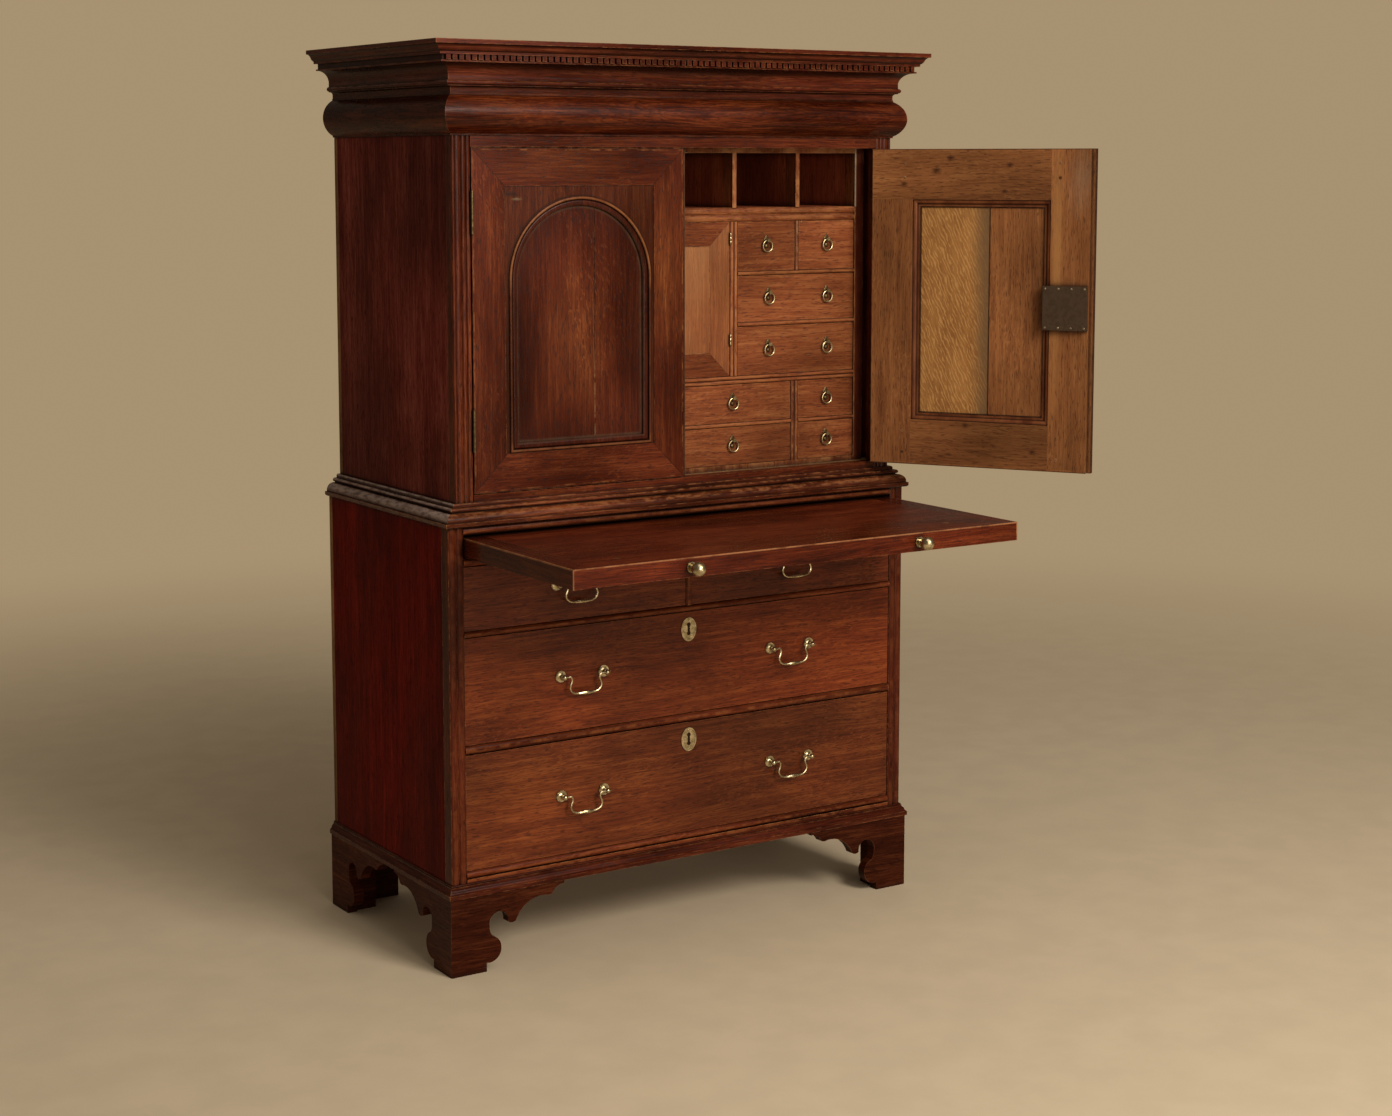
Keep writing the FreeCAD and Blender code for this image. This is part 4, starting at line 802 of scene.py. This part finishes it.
def slideEdges(tree, place, colour):
    # dark joints round the field and at the mitres, and arrises paler, rubbed and with a painted highlight
    side, front, below = slideInsets(tree, place)
    inset = least(tree, side, front)
    ragged = noise(tree, scaled(tree, place, (26.0,) * 3), 4.0, 0.65)
    joint = spread(tree, apart(tree, inset, slide["clamp"]), 1.1, 0.3)
    mitre = spread(tree, apart(tree, side, front), 1.3, 0.3)
    mitre = times(tree, mitre, isBelow(tree, inset, slide["clamp"]))
    joint = times(tree, most(tree, joint, mitre), spread(tree, ragged, 0.3, 0.6, 0.25, 0.7))
    colour = painted(tree, colour, dirtAndShade, joint)
    arris = least(tree, most(tree, inset, below), most(tree, side, front))
    rub = times(tree, spread(tree, arris, 3.4, 1.2), spread(tree, ragged, 0.3, 0.6, 0.2, 0.85))
    return painted(tree, colour, slide["rubbedAndLit"], rub)


dressOak("writing_slide", "slideOak", "slide", clampedRun, 34.0, contrast=1.25, gain=(0.82, 0.64, 0.52),
         touch=slideEdges)
print("drawers dressed")

# fitted interior
nest = {"front": 60.0, "face": 62.5, "drawerFront": 75.0, "unlit": 95.0, "half": 447.0, "cells": 1.447,
        "rubbedAndLit": (0.36, 0.160, 0.060), "railRubbedAndLit": (0.285, 0.108, 0.037), "bare": (0.36, 0.26, 0.175),
        "edge": (0.050, 0.0075, 0.0040), "edgePale": (0.090, 0.0170, 0.0085)}


def nestEdge(tree, place, colour):
    # the case's front edges beside the doors are dark and red, with a pale worn strip along the top cells
    # bead crests paler, rubbed and painted highlight, with painted shade on their flanks
    colour = beadWearAndShade(nest["front"], nest["rubbedAndLit"])(tree, place, colour)
    parts = split(tree, place)
    x = times(tree, apart(tree, parts[0], midX), 1000.0)
    ragged = noise(tree, scaled(tree, place, (60.0, 60.0, 12.0)), 3.0)
    edge = times(tree, spread(tree, x, nest["half"] + 2, nest["half"] + 4), 0.92)
    red = blended(tree, spread(tree, ragged, 0.35, 0.65), tint(nest["edge"]), tint(nest["edgePale"]))
    colour = blended(tree, edge, colour, red)
    strip = times(tree, spread(tree, x, nest["half"] - 0.5, nest["half"]),
                  spread(tree, x, nest["half"] + 4.5, nest["half"] + 3))
    strip = times(tree, strip, isBelow(tree, parts[1], at(0, nest["front"] + 0.5, 0)[1]))
    strip = times(tree, strip, spread(tree, parts[2], nest["cells"] - 0.003, nest["cells"]))
    return painted(tree, colour, nest["bare"], strip, 0.8)


nestDepth = (nest["unlit"], "unlit")
for number, node in enumerate(("nest_case", "nest_uprights")):
    dressOak(node, node + "Oak", "inside", upright, 40.0 + number, behind=nestDepth, touch=nestEdge)
# shelf beads: crests rubbed and painted highlight, flanks painted shade
dressOak("nest_shelves", "nestShelfOak", "inside", across, 42.0, behind=nestDepth,
         touch=beadWearAndShade(nest["front"], nest["railRubbedAndLit"]))
# the dull and polished colours of the field are its painted shade and painted light
cupboard = {"span": (-136.0, 136.0, 1107.7, 1417.3), "frame": 48.0, "lapped": 200.0,
            "litPolish": (0.37, 0.175, 0.075), "shadedPolish": (0.235, 0.088, 0.032), "railWash": (0.66, 0.50, 0.46),
            "scar": (0.02, 0.008, 0.004)}


def polishedField(tree, place, colour):
    # painted light: the field is palest up and left, the uprights near it; the rails are dark and red; joints
    # are faint
    x, _, z = inMm(tree, place)
    side, ends = insets(tree, x, z, *cupboard["span"])
    inward = least(tree, side, ends)
    ragged = noise(tree, scaled(tree, place, (9.0, 9.0, 5.0)), 3.0, 0.6)
    gleam = sums(tree, "MULTIPLY_ADD", less(tree, z, cupboard["span"][2]), 0.0016,
                 sums(tree, "MULTIPLY_ADD", x, -0.002, -0.02))
    gleam = spread(tree, sums(tree, "ADD", gleam, ragged), 0.4, 0.9)
    field = spread(tree, inward, cupboard["frame"] - 1, cupboard["frame"] + 1)
    stile = isBelow(tree, side, ends)
    rail = less(tree, 1.0, most(tree, field, stile))
    shine = sums(tree, "MULTIPLY_ADD", most(tree, field, stile), 0.30, times(tree, field, 0.16))
    litPolish = blended(tree, gleam, tint(cupboard["shadedPolish"]), tint(cupboard["litPolish"]))
    colour = blended(tree, shine, colour, litPolish)
    colour = washed(tree, colour, cupboard["railWash"], rail, 0.8)
    line = spread(tree, apart(tree, inward, cupboard["frame"]), 2.2, 0.4)
    mitre = spread(tree, apart(tree, side, ends), 1.8, 0.4)
    mitre = times(tree, mitre, isBelow(tree, inward, cupboard["frame"]))
    return painted(tree, colour, dirtAndShade, most(tree, line, mitre), 0.3)


cupboardRun = mitredFrame(*cupboard["span"], cupboard["lapped"], cupboard["frame"], True)
dressOak("cupboard_door", "cupboardOak", "inside", cupboardRun, 43.0, contrast=0.85, gain=(1.12, 1.18, 1.18),
         marks=[(at(40, 62, 1160), (1.6, 20, 13), cupboard["scar"], 1.0)], touch=polishedField)
banks = ("centre_drawers", "left_base_drawers", "left_small_drawers", "left_wide_drawers",
         "right_base_drawer", "right_bottom_drawer", "right_inner_small_drawer", "right_outer_small_drawer",
         "right_wide_drawer", "right_lower_wide_drawer")
for number, node in enumerate(banks):
    dressOak(node, node + "Oak", "inside", across, 50.0 + number, behind=(nest["drawerFront"], "raw"),
             contrast=0.75, brassAhead=nest["face"] - 0.05)
print("interior dressed")

# metal
brass = metalFinish("agedBrass", brassLook)
dullBrass = metalFinish("dullBrass", hingeLook)
ringBrass = metalFinish("ringBrass", ringLook)
iron = metalFinish("blackIron", ironLook, 0.8)
nailIron = metalFinish("nailIron", nailLook, 0.8)
for node in nodes:
    if node in ("left_door_hinges", "cabinet_hinge_leaves"):
        dress(node, dullBrass)
    elif node.endswith(("_ring", "_rings")):
        dress(node, ringBrass)
    elif node.endswith(("_bails", "_brass", "_knobs")):
        dress(node, brass)
dress("right_door_ironwork", iron)
print("metal dressed")


# small added pieces: raised bosses set on the faces
def bosses(places, outline, profile, axes):
    # at angle a and row n: place + (outline(a) x share n) round the axis + height n out along it
    turn = np.linspace(0, 2 * np.pi, 36, endpoint=False)
    side, up, out = (np.array(axis, float) for axis in axes)
    spoke = np.outer(outline(turn) * np.cos(turn), side) + np.outer(outline(turn) * np.sin(turn), up)
    share, height = np.array(profile, float).T
    points = share[:, None, None] * spoke[None] + (height[:, None] * out)[:, None, :]
    return np.array(places, float)[:, None, None, :] + points[None]


def swung(points):
    # the same places carried round with the open right door
    turn = math.radians(rightDoor["open"])
    pivot = np.array([*rightDoor["pivot"], 0.0])
    spin = np.array([[math.cos(turn), -math.sin(turn), 0], [math.sin(turn), math.cos(turn), 0], [0, 0, 1]])
    return (points - pivot) @ spin.T + pivot


def addPiece(name, body, shells, material):
    # each shell is rows of rings in mm; quads join the rows and a fan closes each end
    points, faces, count = [], [], 0
    for shell in shells:
        for rows in shell:
            high, wide = rows.shape[:2]
            ring = np.arange(wide)
            step = (np.arange(high - 1) * wide)[:, None]
            after = (ring + 1) % wide
            quads = np.stack([step + ring, step + after, step + wide + after, step + wide + ring],
                             -1).reshape(-1, 4)
            last, tip = (high - 1) * wide, high * wide
            fans = np.concatenate([np.stack([after, ring, np.full(wide, tip)], -1),
                                   np.stack([last + ring, last + after, np.full(wide, tip + 1)], -1)])
            points.append(np.concatenate([rows.reshape(-1, 3), rows[[0, -1]].mean(1)]))
            faces += (quads + count).tolist() + (fans + count).tolist()
            count += tip + 2
    mesh = bpy.data.meshes.new(name)
    mesh.from_pydata(np.concatenate(points) / 1000 + np.array([midX, faceY, 0.0]), [], faces)
    shape = bmesh.new()
    shape.from_mesh(mesh)
    bmesh.ops.recalc_face_normals(shape, faces=shape.faces)
    shape.to_mesh(mesh)
    shape.free()
    mesh.polygons.foreach_set("use_smooth", np.ones(len(mesh.polygons), bool))
    mesh.materials.append(material)
    piece = bpy.data.objects.new(name, mesh)
    bpy.context.scene.collection.objects.link(piece)
    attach(piece, body)


onFront = ((1, 0, 0), (0, 0, 1), (0, -1, 0))
onBack = ((1, 0, 0), (0, 0, 1), (0, 1, 0))
onTop = ((1, 0, 0), (0, 1, 0), (0, 0, 1))
domed = [(1.0, 0.0), (1.0, 0.5), (0.92, 0.8), (0.7, 1.0), (0.35, 1.1), (0.1, 1.12)]
flush = [(1.0, -0.4), (1.0, 0.05), (0.94, 0.14), (0.5, 0.2), (0.1, 0.2)]

# ring pulls: a crown of three lobes behind each post and a boss in the middle of its ring
pulls = {"crown": 5.6, "lobe": 0.30, "lift": 3.6, "boss": 5.0, "drop": 11.5, "centre": 143.65,
         "low": (1062.5, 976.25)}
pullSpots = {
    "right_inner_small_drawer": [(226.2, 1379.5)], "right_outer_small_drawer": [(376.4, 1379.5)],
    "right_wide_drawer": [(231.4, 1273.5), (377.1, 1273.5)],
    "right_lower_wide_drawer": [(231.4, 1168.0), (377.1, 1168.0)],
    "right_base_drawer": [(376.65, 1062.5)], "right_bottom_drawer": [(376.65, 976.25)]}
leftBank = [(-x, z) for spots in pullSpots.values() for x, z in spots]
pullSpots["carcass"] = leftBank + [(side * pulls["centre"], z) for side in (-1, 1) for z in pulls["low"]]
bossDome = [(1.0, 0.0), (1.0, 0.6), (0.86, 0.9), (0.8, 1.5), (0.55, 2.3), (0.15, 2.6)]


def crown(turn):
    # the radius swells in three lobes: one plus a share of the cubed cosine of three turns
    return pulls["crown"] * (1 + pulls["lobe"] * np.cos(3 * turn - 3 * np.pi / 2) ** 3)


def disc(radius):
    return lambda turn: np.full_like(turn, radius)


for body, spots in pullSpots.items():
    backs = [(x, nest["face"], z + pulls["lift"]) for x, z in spots]
    middles = [(x, nest["face"], z - pulls["drop"]) for x, z in spots]
    addPiece("pullPlates_" + body, body,
             [bosses(backs, crown, domed, onFront),
              bosses(middles, disc(pulls["boss"]), bossDome, onFront)], dullBrass)

# hinges of the small cupboard: three knuckles on a pin
hinges = {"place": (136.3, 58.6), "at": (1168.0, 1372.0), "radius": 2.0, "knuckle": 8.0}
rise = hinges["knuckle"]
barrel = [(0.7, 0.0), (1.0, 0.5), (1.0, rise - 0.5), (0.75, rise),
          (1.0, rise + 0.5), (1.0, 2 * rise - 0.5), (0.75, 2 * rise),
          (1.0, 2 * rise + 0.5), (1.0, 3 * rise - 0.5), (0.7, 3 * rise)]
hingeSpots = [(*hinges["place"], z) for z in hinges["at"]]
addPiece("cupboardHinges", "carcass",
         [bosses(hingeSpots, disc(hinges["radius"]), barrel, onTop)], brass)

# nails of the lock, pegs of the door joints and of a drawer, plugs in the slide, pins of the key plates
lock = {"x": (15.25, 95.25), "z": (1208.5, 1286.5), "y": 49.7, "nail": 2.4}
lockRows = [(x, lock["y"], z) for x in np.linspace(*lock["x"], 4) for z in lock["z"]]
addPiece("lockNails", "right_door", [swung(bosses(lockRows, disc(lock["nail"]), domed, onBack))],
         nailIron)
pegs = {"radius": 3.4, "x": (70.75, 397.7), "z": (942.0, 986.0, 1506.0, 1535.0), "y": 38.7}
pegOak = oakFinish("pegOak", "doorBack", deepwise, 70.0, gain=(0.42, 0.36, 0.36))
pegSpots = np.array([(x, pegs["y"], z) for x in pegs["x"] for z in pegs["z"]])
addPiece("leftDoorPegs", "left_door",
         [bosses(pegSpots * (-1, 1, 1), disc(pegs["radius"]), flush, onBack)], pegOak)
addPiece("rightDoorPegs", "right_door",
         [swung(bosses(pegSpots, disc(pegs["radius"]), flush, onBack))], pegOak)
drawerPegs = {"radius": 2.2, "x": (314.0, 436.0), "z": 1416.0}
drawerPegSpots = [(x, nest["face"], drawerPegs["z"]) for x in drawerPegs["x"]]
addPiece("drawerPegs", "right_outer_small_drawer",
         [bosses(drawerPegSpots, disc(drawerPegs["radius"]), flush, onFront)], pegOak)
plugX, plugY, plugRadius = slide["plug"]
plugSpots = [(side * plugX, plugY, slide["top"]) for side in (-1, 1)]
addPiece("slidePlugs", "slide", [bosses(plugSpots, disc(plugRadius), flush, onTop)], pegOak)
pins = {"y": 2.8, "off": 18.3, "radius": 1.6}
for body, plateZ in (("lower_drawer", 388.0), ("upper_drawer", 612.0)):
    pinSpots = [(0, pins["y"], plateZ + side * pins["off"]) for side in (-1, 1)]
    addPiece("platePins_" + body, body,
             [bosses(pinSpots, disc(pins["radius"]), domed, onFront)], brass)
print("small pieces added")
